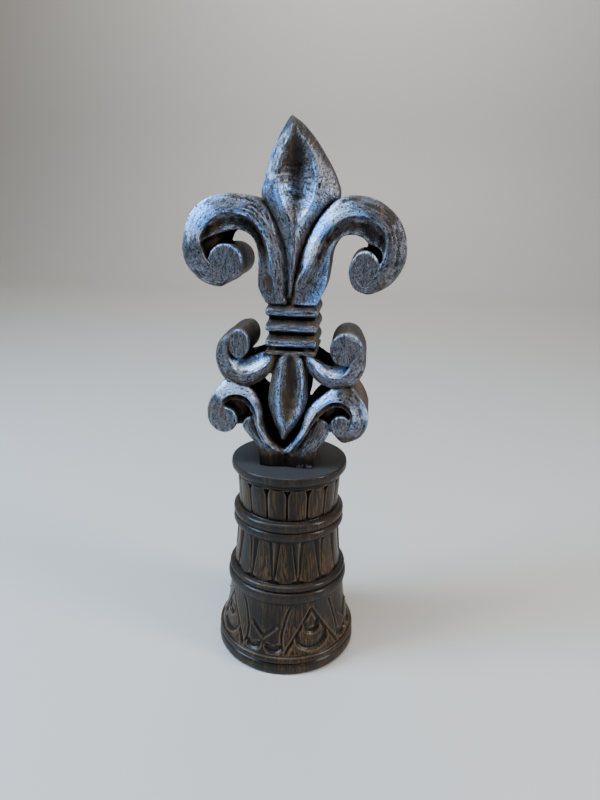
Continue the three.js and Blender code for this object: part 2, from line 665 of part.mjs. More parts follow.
const dropLeaf = {
  steps: 12,
  fullScoop: 7,
  left: [[-3.7, 37.6], [-5.1, 31.7], [-5.8, 28.3], [-6.4, 24.9], [-6.7, 21.5], [-6.2, 18.1], [-4.7, 14.1],
    [-3.4, 11.4], [-2.4, 8.4]],
  leftRidge: [[-1.9, 37.6], [-2.7, 32.2], [-3.1, 28.9], [-3.4, 25.5], [-3.5, 22.2], [-3.3, 18.8],
    [-2.6, 15.9], [-2, 13.8], [-2.2, 9.6]],
  rightRidge: [[1.5, 37.6], [3.1, 32.2], [3.7, 28.9], [3.8, 25.5], [3.4, 22.2], [2.8, 18.8], [1.4, 15.9],
    [-0.6, 13.8], [-1.8, 9.6]],
  right: [[2.1, 37.6], [3.8, 31.7], [4.8, 28.3], [5.3, 24.9], [5.1, 21.5], [4.2, 18.1], [2.1, 13.9],
    [0.2, 11.1], [-1.6, 8.4]],
};

const leftLobe = {
  steps: 8,
  outer: [[-9.1, 0], [-9.3, 3.1], [-10.3, 6.7], [-12, 8.8], [-13.7, 10.9], [-14.5, 12.6], [-13.9, 14.3],
    [-12.5, 15.5]],
  inner: [[0, 0], [-1.2, 3.1], [-4.6, 6.6], [-7.2, 9.4], [-9.1, 11.5], [-10.1, 13.2], [-10.6, 14.7],
    [-11.2, 15.6]],
};

const rightLobe = {
  steps: 8,
  outer: [[7.8, 0], [7.7, 3.1], [8.9, 6.4], [10.6, 8.9], [11.8, 10.9], [12.2, 13], [11.6, 14.8],
    [10, 15.9]],
  inner: [[-1.6, 0], [-1.2, 3.1], [2.4, 6.6], [4.9, 9.8], [6.6, 12.4], [7.2, 14], [7.8, 15.4],
    [8.7, 16.1]],
};

const eyes = [
  { across: -19.1, up: 61.5, halfWidth: 5, halfHeight: 5.1 },
  { across: 20.1, up: 60, halfWidth: 4.4, halfHeight: 5.8 },
  { across: -15.4, up: 38.2, halfWidth: 3.2, halfHeight: 4.5 },
  { across: 16.1, up: 37.8, halfWidth: 4.8, halfHeight: 4.9 },
  { across: -20.2, up: 14.5, halfWidth: 4.2, halfHeight: 4.2 },
  { across: 15.5, up: 14.3, halfWidth: 3.2, halfHeight: 3.4 },
];

const webs = [
  { lean: -2.8, outline: [[-18.2, 71], [-18.2, 65], [-21, 62], [-25.5, 61], [-27.5, 67]] },
  { lean: 0, outline: [[20.6, 69.5], [25.5, 68], [26, 61.5], [24, 60], [20.6, 64]] },
  { lean: 0, outline: [[-4, 36], [-5, 36], [-7.2, 30], [-6.9, 29.2], [-4.5, 29.2]] },
  { lean: 0, outline: [[-6, 20.2], [-8.8, 22.1], [-13, 25.2], [-11, 19], [-9, 14], [-5.5, 7.5], [-2.2,
    5], [-1.8, 9]] },
  { lean: 0, outline: [[2, 37], [3.6, 36.5], [7.6, 29.4], [6.8, 28.6], [4, 28.6]] },
  { lean: 0, outline: [[3, 18.5], [6.2, 18.5], [4.6, 13], [1.5, 8], [-2, 5], [-1.8, 9], [0, 11.5]] },
  { lean: 0, outline: [[-13.5, 11.8], [-17.5, 11.8], [-18, 17.5], [-20.8, 18], [-19, 21.2], [-13.6,
    21.4], [-10.3, 16], [-10.3, 14]] },
  { lean: 0, outline: [[10.8, 11], [14.5, 11], [14.5, 16], [18.8, 17.5], [16.8, 20.6], [12.8, 21],
    [7.8, 16.6], [9.5, 14]] },
];

const waist = {
  halfWidth: 7.5,
  top: 51.7,
  firstGroove: 50.4,
  foot: 36.2,
  footCut: 0.35,
  ribCount: 3,
  ribPitch: 4.48,
  ribSlope: 0.42,
  ribFace: 0.3,
};

function fleurDeLis() {
  const bands = [leftArm, rightArm, leftUpperVolute, rightUpperVolute, leftLowerVolute, rightLowerVolute];
  const whole = joined([
    ...bands.map(scrollBand),
    ...eyes.map(scrollEye),
    ...webs.map(web),
    scoopedLeaf(petal, petalBevel, petalScoopDepth),
    scoopedLeaf(dropLeaf, leafBevel, leafScoopDepth),
    collar(waist),
    ...[leftLobe, rightLobe].map(footLobe),
  ]);
  return whole.simplify(smallestEdge);
}

const finial = new THREE.Group();
const pedestalMesh = namedMesh("pedestal", pedestal(), brownWood);
const fleurMesh = namedMesh("fleur_de_lis", fleurDeLis(), silveredWood);
fleurMesh.position.set(fleurShift, 0, pedestalHeight);
finial.add(pedestalMesh, fleurMesh);

export default finial;
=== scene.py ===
"""Fleur-de-lis finial: a silvered plank carved as a fleur-de-lis, on a turned and carved brown pedestal."""

import math

import bpy
import numpy as np
from mathutils import Matrix, Vector, noise
from mathutils.kdtree import KDTree


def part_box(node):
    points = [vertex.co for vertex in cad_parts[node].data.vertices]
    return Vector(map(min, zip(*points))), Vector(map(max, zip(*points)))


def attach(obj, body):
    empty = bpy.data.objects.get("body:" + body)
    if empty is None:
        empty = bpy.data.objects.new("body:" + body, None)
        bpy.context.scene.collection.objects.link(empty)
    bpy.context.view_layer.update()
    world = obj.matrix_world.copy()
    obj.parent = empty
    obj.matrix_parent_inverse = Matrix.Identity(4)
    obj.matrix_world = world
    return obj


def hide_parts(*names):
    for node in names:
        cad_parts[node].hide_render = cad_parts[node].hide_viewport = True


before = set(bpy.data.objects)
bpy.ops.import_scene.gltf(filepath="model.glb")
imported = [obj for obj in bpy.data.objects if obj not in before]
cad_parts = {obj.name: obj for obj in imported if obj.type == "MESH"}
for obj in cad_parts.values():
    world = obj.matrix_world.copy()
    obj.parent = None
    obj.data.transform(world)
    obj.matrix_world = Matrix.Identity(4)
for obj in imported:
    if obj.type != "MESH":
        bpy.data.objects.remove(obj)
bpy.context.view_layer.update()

MM = 0.001
SEED = 7
TRIANGLES = 190000

# Fleur-de-lis: places on it are [across, up] in hundredths of its height, from the middle of its foot
fleur_low, fleur_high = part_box("fleur_de_lis")
FOOT_SHIFT = 2 * MM
TIP = 99.9
SHARE = (fleur_high.z - fleur_low.z) / TIP
FRONT = fleur_low.y
BACK = fleur_high.y
VOXEL = 0.8 * MM
GUIDE_STEP = 1 * MM
EDGE_BEVEL = 4 * MM
CHANNEL_DEPTH = 7 * MM
CHANNEL_MIDDLE = 0.42
FULL_CHANNEL = 3.4
LIP_DEPTH = 3 * MM
PETAL_BEVEL = 8 * MM
PETAL_SCOOP = 7 * MM
LEAF_BEVEL = 5 * MM
LEAF_SCOOP = 5 * MM
LOBE_BEVEL = 4 * MM
EYE_SINK = 1 * MM
EYE_ROUNDING = 1.6 * MM
SCROLL_END_SINK = 1.4 * MM
BACK_BEVEL = 3 * MM
COLLAR_GROOVE = 4 * MM
SLOPE_DEPTH = 8.5 * MM
FOOT_SINK = 2.5 * MM
WEB_SINK = 14 * MM
WEB_BACK_SINK = 6 * MM
DROP_LIFT = 1 * MM
WEAR_RELIEF = 0.22 * MM
HOLLOW_RELIEF = 5 * MM
GUIDED_NEAR = 1.4 * MM
GUIDED_FAR = 3.5 * MM

# Unevenness of the hand work on it, in millimetres
HAND_WAVE = 0.28
TOOL_MARK = 0.2


# Lines and profiles


def smooth_line(points, steps):
    """Smooth line through given points, read at even steps."""
    points = np.array(points, float)
    last = len(points) - 1
    at = np.linspace(0, last, steps + 1)
    start = np.minimum(at.astype(int), last - 1)
    t = (at - start)[:, None]
    p0, p1, p2, p3 = (points[np.clip(start + k, 0, last)] for k in (-1, 0, 1, 2))
    v1 = (p2 - p0) / 2
    v2 = (p3 - p1) / 2
    return (2 * p1 - 2 * p2 + v1 + v2) * t**3 + (-3 * p1 + 3 * p2 - 2 * v1 - v2) * t**2 + v1 * t + p1


def rounded_off(s):
    """Steep at first, level at the end, as a bevel that rounds over to its ridge."""
    return 1 - (1 - s) ** 1.5


def rounded_down(s):
    return s**1.5


def scooped_in(s):
    """Drops off a sharp ridge and levels out on the bottom of a scoop."""
    return np.sin(math.pi / 2 * s)


def scooped_out(s):
    return 1 - np.cos(math.pi / 2 * s)


def straight(s):
    return s


def smoothstep(low, high, value):
    t = np.clip((value - low) / (high - low), 0, 1)
    return t * t * (3 - 2 * t)


def along_keys(keys, steps):
    """Rows of values given at a few places along a form, read at every step."""
    at = np.linspace(0, 1, steps + 1)
    columns = np.array([values for _, values in keys], float).T
    return [np.interp(at, [place for place, _ in keys], column) for column in columns]


# Carved bodies: closed lofts that overlap, with guide points on their front that know what is carved there


class Carving:
    """Corners and faces of the bodies that make up a carving, and its guide points with their marks."""

    def __init__(self):
        self.corners = []
        self.faces = []
        self.guides = []
        self.marks = []

    def loft(self, sections):
        """Closed body through sections of the same number of corners, with flat ends."""
        rows, corners = sections.shape[:2]
        first = len(self.corners)
        self.corners.extend(sections.reshape(-1, 3).tolist())
        for i in range(rows - 1):
            for j in range(corners):
                a = first + i * corners + j
                b = first + i * corners + (j + 1) % corners
                self.faces.append((a, b, b + corners, a + corners))
        self.faces.append(tuple(range(first + corners - 1, first - 1, -1)))
        last = first + (rows - 1) * corners
        self.faces.append(tuple(range(last, last + corners)))

    def guide(self, points, along, across, leaf):
        """Guide points with the way the carving runs there, and the silver leaf that is left there.

        Leaf is 1 where it is whole, 0 on bare wood and -1 on blackened wood; near 1 and above it carries a
        painted blue highlight, and the blackening is partly painted shade.
        """
        self.guides.append(points.reshape(-1, 3))
        self.marks.append(np.stack([along.ravel(), across.ravel(), leaf.ravel()], axis=1))


def spot(line, depth):
    """Places on the plank from [across, up] rows and depths behind its front face."""
    x = FOOT_SHIFT + line[..., 0] * SHARE
    z = fleur_low.z + line[..., 1] * SHARE
    return np.stack([x, np.broadcast_to(FRONT + depth, x.shape), z], axis=-1)


def steps_along(line):
    length = np.linalg.norm(np.diff(np.array(line, float), axis=0), axis=1).sum() * SHARE
    return round(length / GUIDE_STEP)


def carve_between(form, lines, easings, cuts):
    """One form between its carving lines. Each line holds its places, its depths and its leaf."""
    faces, alongs, acrosses, leaves = [], [], [], []
    middle = (lines[0][0] + lines[-1][0]) / 2 * SHARE
    stride = np.linalg.norm(np.diff(middle, axis=0), axis=1)
    along = np.concatenate([[0], np.cumsum(stride)])
    width = np.zeros(len(middle))
    for (line, depth, leaf), (next_line, next_depth, next_leaf), ease, count in zip(
        lines, lines[1:], easings, cuts
    ):
        gap = np.linalg.norm(next_line - line, axis=1) * SHARE
        is_last = next_line is lines[-1][0]
        for s in np.linspace(0, 1, count + 1)[: None if is_last else -1]:
            place = line + (next_line - line) * s
            faces.append(spot(place, depth + (next_depth - depth) * ease(s)))
            alongs.append(along)
            acrosses.append(width + gap * s)
            leaves.append(leaf + (next_leaf - leaf) * s)
        width = width + gap
    front = np.stack(faces, axis=1)
    form.guide(front, np.stack(alongs, 1), np.stack(acrosses, 1), np.stack(leaves, 1))
    form.loft(np.concatenate([front, back_of(lines[-1][0], lines[0][0])], axis=1))


def back_of(from_line, to_line):
    """Back of a form, level with its edges eased, from the last carving line round to the first."""
    across = to_line - from_line
    width = np.linalg.norm(across, axis=1, keepdims=True)
    ease = np.minimum(BACK_BEVEL / SHARE, 0.3 * width) / np.maximum(width, 1e-6)
    corners = []
    for share, depth in ((0, 1), (0.3, 0.3), (1, 0)):
        corners.append(spot(from_line + across * ease * share, BACK - FRONT - BACK_BEVEL * depth))
    for share, depth in ((1, 0), (0.3, 0.3), (0, 1)):
        corners.append(spot(to_line - across * ease * share, BACK - FRONT - BACK_BEVEL * depth))
    return np.stack(corners, axis=1)


def scroll_band(form, band):
    """Band of a scroll: a bevel up to its ridge, then a channel and an inner lip, or one slope down."""
    steps = steps_along(band["outer"])
    outer, ridge, inner = (smooth_line(band[name], steps) for name in ("outer", "ridge", "inner"))
    leaf = along_keys(band["leaf"], steps)
    fill = np.minimum(1, np.linalg.norm(inner - ridge, axis=1) / FULL_CHANNEL)
    fill = fill * along_keys(band["depth"], steps)[0]
    channel, lip, ease_in, ease_out = CHANNEL_DEPTH, LIP_DEPTH, scooped_in, scooped_out
    if band["sloped"]:
        channel, lip, ease_in, ease_out = SLOPE_DEPTH * CHANNEL_MIDDLE, SLOPE_DEPTH, straight, straight
    along = np.linspace(0, 1, steps + 1)
    sunk = SCROLL_END_SINK * smoothstep(0.75, 1, along)
    if band["from_foot"] or band["sloped"]:
        sunk = sunk + FOOT_SINK * smoothstep(0.12, 0, along)
    bottom = ridge + (inner - ridge) * CHANNEL_MIDDLE
    lines = [
        (outer, np.full(steps + 1, EDGE_BEVEL), leaf[0]),
        (ridge, sunk, leaf[1]),
        (bottom, sunk + channel * fill, leaf[2]),
        (inner, sunk + lip * fill, leaf[3]),
    ]
    carve_between(form, lines, (rounded_off, ease_in, ease_out), (5, 4, 5))


def scooped_leaf(form, shape, bevel, scoop):
    """Long pointed leaf: bevels from its edges up to two ridges, with a scoop between them."""
    steps = steps_along(shape["left"])
    names = ("left", "left_ridge", "right_ridge", "right")
    left, left_ridge, right_ridge, right = (smooth_line(shape[name], steps) for name in names)
    leaf = along_keys(shape["leaf"], steps)
    fill = np.minimum(1, np.linalg.norm(right_ridge - left_ridge, axis=1) / shape["full_scoop"]) ** 2
    level = np.zeros(steps + 1)
    lines = [
        (left, level + bevel, leaf[0]),
        (left_ridge, level, leaf[1]),
        ((left_ridge + right_ridge) / 2, scoop * fill, leaf[2]),
        (right_ridge, level, leaf[3]),
        (right, level + bevel, leaf[4]),
    ]
    carve_between(form, lines, (rounded_off, scooped_in, scooped_out, rounded_down), (6, 5, 5, 6))


def foot_lobe(form, shape):
    steps = steps_along(shape["outer"])
    outer, inner = (smooth_line(shape[name], steps) for name in ("outer", "inner"))
    leaf = along_keys(shape["leaf"], steps)
    level = np.full(steps + 1, LOBE_BEVEL)
    crest = outer + (inner - outer) * 0.4
    lines = [(outer, level, leaf[0]), (crest, level / 2, leaf[1]), (inner, level, leaf[2])]
    carve_between(form, lines, (rounded_off, rounded_down), (5, 6))


def scroll_eye(form, across, up, half_width, half_height):
    """Round eye of a scroll, right through the plank, with a slightly crowned face and an eased rim."""
    corners = 48
    turn = np.arange(corners) * 2 * math.pi / corners
    ring = np.stack([half_width * np.cos(turn), half_height * np.sin(turn)], axis=1)
    thickness = BACK - FRONT
    rim = 0.86
    rows = []
    for radius in (0.05, 0.3, 0.55, 0.75, rim):
        rows.append((radius, EYE_SINK * (1 - 0.4 * (1 - radius**2))))
    for swing in (0.33, 0.66, 1):
        angle = swing * math.pi / 2
        radius = rim + (1 - rim) * math.sin(angle)
        rows.append((radius, EYE_SINK + EYE_ROUNDING * (1 - math.cos(angle))))
    front_rows = len(rows)
    rows += [(1, thickness - EYE_SINK - EYE_ROUNDING), (rim, thickness - EYE_SINK)]
    centre = np.array([across, up])
    sections = np.stack([spot(centre + ring * radius, depth) for radius, depth in rows])
    form.loft(sections)
    face = sections[:front_rows]
    radii = np.array([radius for radius, _ in rows[:front_rows]])[:, None]
    # The rim's leaf is raised on its upper right and lowered opposite: painted highlight and painted shade
    painted_lit_side = 0.5 + 0.5 * np.cos(turn - math.radians(60))[None, :]
    leaf = 0.5 + 0.3 * smoothstep(0.8, 0.97, radii) * painted_lit_side - 0.3 * smoothstep(0.8, 0.97, radii) * (1 - painted_lit_side)
    form.guide(face, face[..., 2], face[..., 0], np.broadcast_to(leaf, face.shape[:2]))


def web(form, lean, rise, leaf, outline):
    """Wood left standing between two neighbours, behind the front face.

    It rises to the left, and its leaf goes from the first value at its left edge to the second at its right;
    a leaf of -1 blackens it as painted shade in the pocket behind the front.
    """
    corners = np.array(outline, float)
    left, right = corners[:, 0].min(), corners[:, 0].max()
    slide = np.array([lean, 0])
    back = BACK - FRONT - WEB_BACK_SINK

    def sink(places):
        return WEB_SINK - rise * MM * (right - places[..., 0]) / (right - left)

    form.loft(np.stack([spot(corners, sink(corners)), spot(corners + slide, back)]))
    edge = smooth_line(np.concatenate([corners, corners[:1]]), 10 * len(corners))
    middle = corners.mean(axis=0)
    rings = []
    for share in np.linspace(0.1, 1, 8):
        ring = middle + (edge - middle) * share
        rings.append(spot(ring, sink(ring)))
    for share in np.linspace(0.04, 1, 24):
        rings.append(spot(edge + slide * share, sink(edge) + (back - sink(edge)) * share))
    face = np.stack(rings)
    place = ((face[..., 0] - FOOT_SHIFT) / SHARE - left) / (right - left)
    form.guide(face, face[..., 2], face[..., 0], leaf[0] + (leaf[1] - leaf[0]) * smoothstep(0.3, 0.8, place))


def glue_drop(form, x, z, radius):
    """Small drop of dried glue on the front of the foot."""
    corners = 8
    turn = np.arange(corners) * 2 * math.pi / corners
    rings = []
    for swing in np.linspace(0.2, math.pi - 0.2, 6):
        r = radius * math.sin(swing)
        y = np.full(corners, FRONT + LOBE_BEVEL - DROP_LIFT - radius * math.cos(swing))
        rings.append(np.stack([x + r * np.cos(turn), y, z + r * np.sin(turn)], axis=1))
    rings = np.array(rings)
    form.loft(rings)
    form.guide(rings, rings[..., 2], rings[..., 0], np.full(rings.shape[:2], 0.6))


def collar(form, waist):
    """Collar round the waist: ribs that slope up to a narrow worn face, with grooves between them."""
    # Leaf below zero blackens the grooves, partly as painted shade
    rib = [(0, 1, -0.6), (0.1, 0.78, 0.02), (0.34, 0.16, 0.02), (0.4, 0.04, 0.45), (0.5, 0, 0.72),
           (0.66, 0, 0.68), (0.73, 0.1, 0.3), (0.82, 0.85, -0.6), (0.92, 1, -0.8)]
    levels = [(waist["top"], 0.9, 0.1)]
    for i in range(waist["rib_count"]):
        groove = waist["first_groove"] - i * waist["rib_pitch"]
        levels += [(groove - share * waist["rib_pitch"], cut, leaf) for share, cut, leaf in rib]
    end = waist["first_groove"] - waist["rib_count"] * waist["rib_pitch"]
    levels += [(end, 1, -0.6), (end - 0.25, waist["foot_cut"], 0.1), (waist["foot"], waist["foot_cut"], 0.1)]
    columns = 40
    ease = 1.2 * MM
    half_depth = (BACK - FRONT) / 2
    sections, leaves = [], []
    for up, cut, leaf in levels:
        x = waist["half_width"] * SHARE - 0.5 * cut * COLLAR_GROOVE
        y = half_depth - cut * COLLAR_GROOVE
        row = [(t * (x - ease), -y) for t in np.linspace(-1, 1, columns)]
        row += [(x, -y + ease), (x, y - ease), (x - ease, y)]
        row += [(-x + ease, y), (-x, y - ease), (-x, -y + ease)]
        z = fleur_low.z + up * SHARE
        sections.append([(FOOT_SHIFT + px, py, z) for px, py in row])
        leaves.append([leaf] * columns)
    sections = np.array(sections)
    form.loft(sections)
    face = sections[:, :columns]
    form.guide(face, face[..., 0], face[..., 2], np.array(leaves, float))


# Carving lines of the fleur-de-lis. Each leaf row is (place along, silver left on each carving line); near 1
# and above the leaf shows a painted blue highlight, and below zero it is blackened, partly as painted shade.

LEFT_ARM = {
    "from_foot": False,
    "sloped": False,
    "depth": [(0, (0.15,)), (0.12, (0.25,)), (0.2, (0.7,)), (0.35, (0.8,)), (0.45, (0.6,)), (1, (0.8,))],
    "outer": [[-1.1, 50.4], [-1.3, 55.9], [-1.8, 61.8], [-3.3, 67.3], [-5.6, 72.9], [-9.3, 78.3],
              [-14.6, 79.8], [-20.5, 79.8], [-26.2, 77.4], [-30.1, 72.8], [-31.6, 66.9], [-31.2, 62],
              [-28.9, 58.1], [-25.1, 55.3], [-20.5, 54.6], [-16.9, 57.3]],
    "ridge": [[-3.3, 50.4], [-4.4, 56.1], [-5.9, 61.1], [-7, 66.3], [-8.6, 69.9], [-11.7, 73.4], [-15.9, 75],
              [-20.1, 74.8], [-23.6, 72.6], [-25.5, 69.9], [-26.3, 67.2], [-25.1, 63.8], [-23.7, 60.9],
              [-22.2, 58.2], [-19.9, 56.5], [-17.5, 58.2]],
    "inner": [[-7.3, 50.4], [-9.6, 55.1], [-9.6, 60.6], [-10.1, 65.4], [-11.2, 68.1], [-13.4, 69.8],
              [-16.4, 70.4], [-20, 69.6], [-23.1, 68.4], [-25.4, 67.3], [-26.1, 66], [-24.9, 63.2],
              [-23.6, 60.8], [-22.1, 58.5], [-20, 57.1], [-18, 59]],
    "leaf": [(0, (0.2, 0.5, 0.4, 0.5)), (0.08, (0.7, 0.5, 0.2, 0.6)), (0.15, (0.5, 0.8, 0.55, 0.75)),
             (0.21, (0.6, 0.8, -0.45, 0.6)), (0.3, (0.6, 0.75, -0.5, 0.4)),
             (0.37, (0.5, 0.8, 0.35, 0.4)), (0.44, (0.35, 0.65, 0.45, 0.5)), (0.5, (0.85, 0.9, 0, 0.15)),
             (0.56, (1.2, 1.1, 0.5, 0)), (0.62, (1.05, 0.9, 0.3, 0)), (0.68, (0.6, 0.5, 0.2, 0)),
             (0.76, (0.45, 0.5, 0.3, 0.2)), (0.86, (0.3, 0.4, 0.35, 0.4)),
             (1, (0.25, 0.4, 0.4, 0.4))],
}

RIGHT_ARM = {
    "from_foot": False,
    "sloped": False,
    "depth": [(0, (0.15,)), (0.14, (0.35,)), (0.25, (0.7,)), (1, (0.8,))],
    "outer": [[-0.2, 50.4], [0.2, 55.5], [1.7, 60.1], [3.2, 65.9], [5.3, 70.9], [8.2, 75.3], [12.7, 79.4],
              [18, 80], [23.5, 78.6], [28, 75], [30.7, 70.2], [31.4, 65.2], [30.4, 60.9], [27.7, 57],
              [24.1, 54.6], [20.5, 53.8], [17.4, 56.2]],
    "ridge": [[1.7, 50.4], [1.9, 56.5], [4.2, 60.5], [6.1, 65.1], [8.3, 69.5], [11.5, 73.2], [15.3, 75],
              [19.2, 75.1], [22.6, 73.3], [25, 70.9], [25.5, 67.6], [25.2, 64.2], [24.7, 61.5], [23.6, 58.8],
              [22.2, 56.5], [20.3, 55.5], [18.1, 57.2]],
    "inner": [[7.1, 50.4], [9.2, 55.1], [10, 60.1], [10.6, 64.6], [12.1, 67.7], [14, 69.4], [16.5, 69.8],
              [19, 69.2], [20.8, 67.6], [22.8, 66.9], [24.4, 65.6], [24.7, 63.7], [24.2, 61.5], [23.2, 58.9],
              [21.8, 56.8], [20.3, 56.1], [18.7, 58]],
    "leaf": [(0, (-0.1, 0.35, 0.85, 1)), (0.08, (0.2, 0.4, 0.6, 0.95)), (0.15, (0.9, 1, 0.45, 0.8)),
             (0.28, (1.2, 1.2, 0.4, 0.3)), (0.36, (0.85, 1.1, 0.4, 0.3)),
             (0.42, (0.25, 0.95, 0.35, 0.35)), (0.48, (0.2, 0.5, 0, 0.3)),
             (0.54, (0.05, 0.3, 0.35, 0.35)), (0.62, (0.35, 0.5, 0.05, 0.35)),
             (0.72, (0.55, 0.65, 0.3, 0.35)), (0.86, (0.1, 0.3, 0.3, 0.3)), (1, (0.25, 0.4, 0.35, 0.35))],
}

LEFT_UPPER_VOLUTE = {
    "from_foot": False,
    "sloped": True,
    "depth": [(0, (0.5,)), (0.12, (1.0,)), (1, (1.0,))],
    "outer": [[-3.9, 37.6], [-4.7, 32.6], [-6.4, 29.4], [-9.5, 26.6], [-13.3, 25.2], [-17.1, 25.7],
              [-19.9, 27.3], [-21.8, 30.4], [-22.5, 33.9], [-21.9, 37.7], [-19.9, 40.6], [-17.1, 42.4],
              [-14.4, 42.1]],
    "ridge": [[-4.8, 38.2], [-5.8, 33.8], [-7.9, 31.6], [-10.7, 30], [-13.2, 29.3], [-15.5, 29.8],
              [-17.4, 31.8], [-18.5, 34.1], [-19, 36.4], [-18.8, 38.7], [-17.8, 40.6], [-16.5, 41.7],
              [-14.7, 41.3]],
    "inner": [[-6, 39], [-7.2, 35.9], [-9.2, 35.1], [-11.5, 34.1], [-13.6, 33.4], [-15.8, 33], [-17.2, 33.4],
              [-18.3, 34.8], [-18.7, 36.5], [-18.5, 38.2], [-17.6, 39.9], [-16.5, 40.9], [-15, 40.5]],
    "leaf": [(0, (-0.1, -0.1, -0.3, -0.4)), (0.07, (0.05, 0.1, 0.75, -0.2)), (0.15, (0, 0.5, 1.2, 1)),
             (0.42, (0, 0.5, 1.3, 1.25)), (0.52, (0.3, 0.45, 0.9, 1)), (0.62, (0.4, 0.4, 0.4, 0.3)),
             (0.8, (0.25, 0.2, 0.3, 0.3)), (1, (0.2, 0.3, 0.35, 0.4))],
}

RIGHT_UPPER_VOLUTE = {
    "from_foot": False,
    "sloped": True,
    "depth": [(0, (0.6,)), (0.12, (1.0,)), (1, (1.0,))],
    "outer": [[2.6, 37.6], [4, 33.1], [5.3, 30.7], [7.4, 28.3], [9.9, 26.6], [12.9, 25.9], [16.3, 26.1],
              [19.2, 27.6], [21.3, 30.5], [22, 33.9], [21.7, 36.9], [20.5, 39.6], [18.2, 42.2],
              [15.7, 42.3]],
    "ridge": [[4, 38.4], [5.6, 34.7], [6.5, 33.5], [7.7, 31.7], [9.6, 30.1], [11.9, 29.4], [14.2, 29.4],
              [16.1, 30.8], [17.6, 33.3], [19, 35.1], [19.9, 37.2], [19.2, 39.5], [17.4, 41.5],
              [15.9, 41.4]],
    "inner": [[5.4, 39], [6.6, 35.1], [8.3, 33.8], [10, 32.7], [12.1, 32], [14.6, 32], [16.1, 32.2],
              [17.3, 33.2], [18.2, 34.4], [19, 36.1], [19.2, 37.4], [18.4, 38.9], [17, 40.7], [16, 40.6]],
    "leaf": [(0, (-0.1, 0.1, -0.2, -0.4)), (0.07, (0.1, 0.9, 1.25, 0.3)), (0.15, (0.15, 0.7, 1.3, 0.6)),
             (0.42, (0.2, 0.6, 1.3, 1.1)), (0.54, (0.35, 0.6, 0.9, 0.9)), (0.64, (0.45, 0.5, 0.4, 0.35)),
             (0.8, (0.4, 0.45, 0.4, 0.4)), (1, (0.4, 0.6, 0.45, 0.4))],
}

LEFT_LOWER_VOLUTE = {
    "from_foot": True,
    "sloped": False,
    "depth": [(0, (0.3,)), (0.3, (0.5,)), (0.45, (1.0,)), (1, (1.0,))],
    "outer": [[-1.6, 4.4], [-3.5, 6.4], [-5.4, 8.4], [-6.9, 11], [-8, 13.8], [-8.2, 16.6], [-8.8, 19.7],
              [-10.5, 23], [-13.2, 25.2], [-16.6, 26.4], [-20, 26.6], [-22.5, 23.9], [-24.4, 20.7],
              [-25.4, 16.7], [-24.9, 13.1], [-22.9, 10.9], [-20, 10], [-17.6, 11.6]],
    "ridge": [[-4.2, 5.4], [-5.6, 6.7], [-7.3, 9], [-8.6, 11.7], [-9.4, 14.2], [-9.8, 16.7], [-10.5, 19],
              [-11.7, 20.9], [-13.4, 22.4], [-15.9, 23], [-18.4, 22.5], [-20.2, 20.9], [-20.7, 19],
              [-20.9, 17.2], [-20.8, 15.1], [-20.6, 13.4], [-19.7, 12.1], [-18.1, 12.3]],
    "inner": [[-6.1, 4.5], [-6.9, 6.2], [-8.4, 8.7], [-9.6, 11.5], [-10.5, 13.8], [-10.9, 15.9],
              [-11.7, 17.8], [-12.8, 19.3], [-14.3, 20.4], [-16.2, 20.9], [-18.3, 20.6], [-19.8, 19.6],
              [-20.4, 18.2], [-20.6, 16.7], [-20.6, 14.6], [-20.4, 13.4], [-19.6, 12.6], [-18.5, 13]],
    "leaf": [(0, (0.1, 0.8, 0.8, 0.8)), (0.1, (-0.1, 0.85, 0.85, 0.7)), (0.22, (0, 0.95, 0.7, 0.45)),
             (0.36, (0.15, 1, 0.4, 0.25)), (0.45, (0.8, 1.05, 0.25, 0)),
             (0.58, (1.2, 1.15, 0.2, 0.05)), (0.66, (1.1, 0.6, 0.15, 0.05)), (0.74, (0.2, 0.3, 0.2, 0.1)),
             (0.86, (0.25, 0.35, 0.35, 0.3)), (1, (0.3, 0.4, 0.4, 0.4))],
}

RIGHT_LOWER_VOLUTE = {
    "from_foot": True,
    "sloped": False,
    "depth": [(0, (0.3,)), (0.3, (0.6,)), (0.45, (1.0,)), (1, (1.0,))],
    "outer": [[-2.6, 4.3], [-0.2, 6.9], [1.8, 9.6], [3.2, 12.1], [4.1, 14.9], [4.8, 17.6], [6.4, 20.3],
              [8.7, 22.6], [11.4, 24.9], [14.6, 26.6], [18, 26.7], [20.5, 23.9], [22.4, 20.9], [23.6, 17.4],
              [23.2, 14], [21.6, 11.2], [18.8, 9.6], [15.9, 9.1], [13.2, 11.8]],
    "ridge": [[0, 5], [1.7, 7.5], [3.6, 10.3], [4.8, 12.6], [5.9, 14.9], [7.1, 17.2], [8.6, 19.1],
              [10.5, 20.8], [12.8, 22.1], [15.3, 22.1], [17.4, 20.9], [18.8, 19], [19, 17.2], [18.8, 15.5],
              [18.4, 13.8], [17.6, 12.6], [16.7, 11.9], [15.5, 11.7], [13.9, 13]],
    "inner": [[1.1, 4.1], [2.8, 7], [4.5, 10], [6, 12.5], [7.2, 14.6], [8.5, 16.5], [10, 18],
              [11.4, 19.3], [13.3, 20.2], [15.2, 20.3], [16.9, 19.4], [18.1, 18], [18.4, 16.5], [18, 15],
              [17.6, 13.6], [17, 12.8], [16.3, 12.3], [15.3, 12.2], [14.5, 13.6]],
    "leaf": [(0, (0.2, 0.9, 0.5, 0.2)), (0.1, (0.8, 1.1, 0.35, 0.2)), (0.3, (1, 1.05, 0.2, 0.15)),
             (0.46, (1.15, 1.05, 0.25, 0.3)), (0.54, (0.1, 0.25, 0.1, 0.1)),
             (0.6, (0.3, 1, 0, -0.2)), (0.7, (1.05, 0.75, 0.1, 0)), (0.8, (0.5, 0.5, 0.2, 0.2)),
             (0.9, (0, 0.25, 0.3, 0.3)), (1, (0.2, 0.35, 0.4, 0.4))],
}

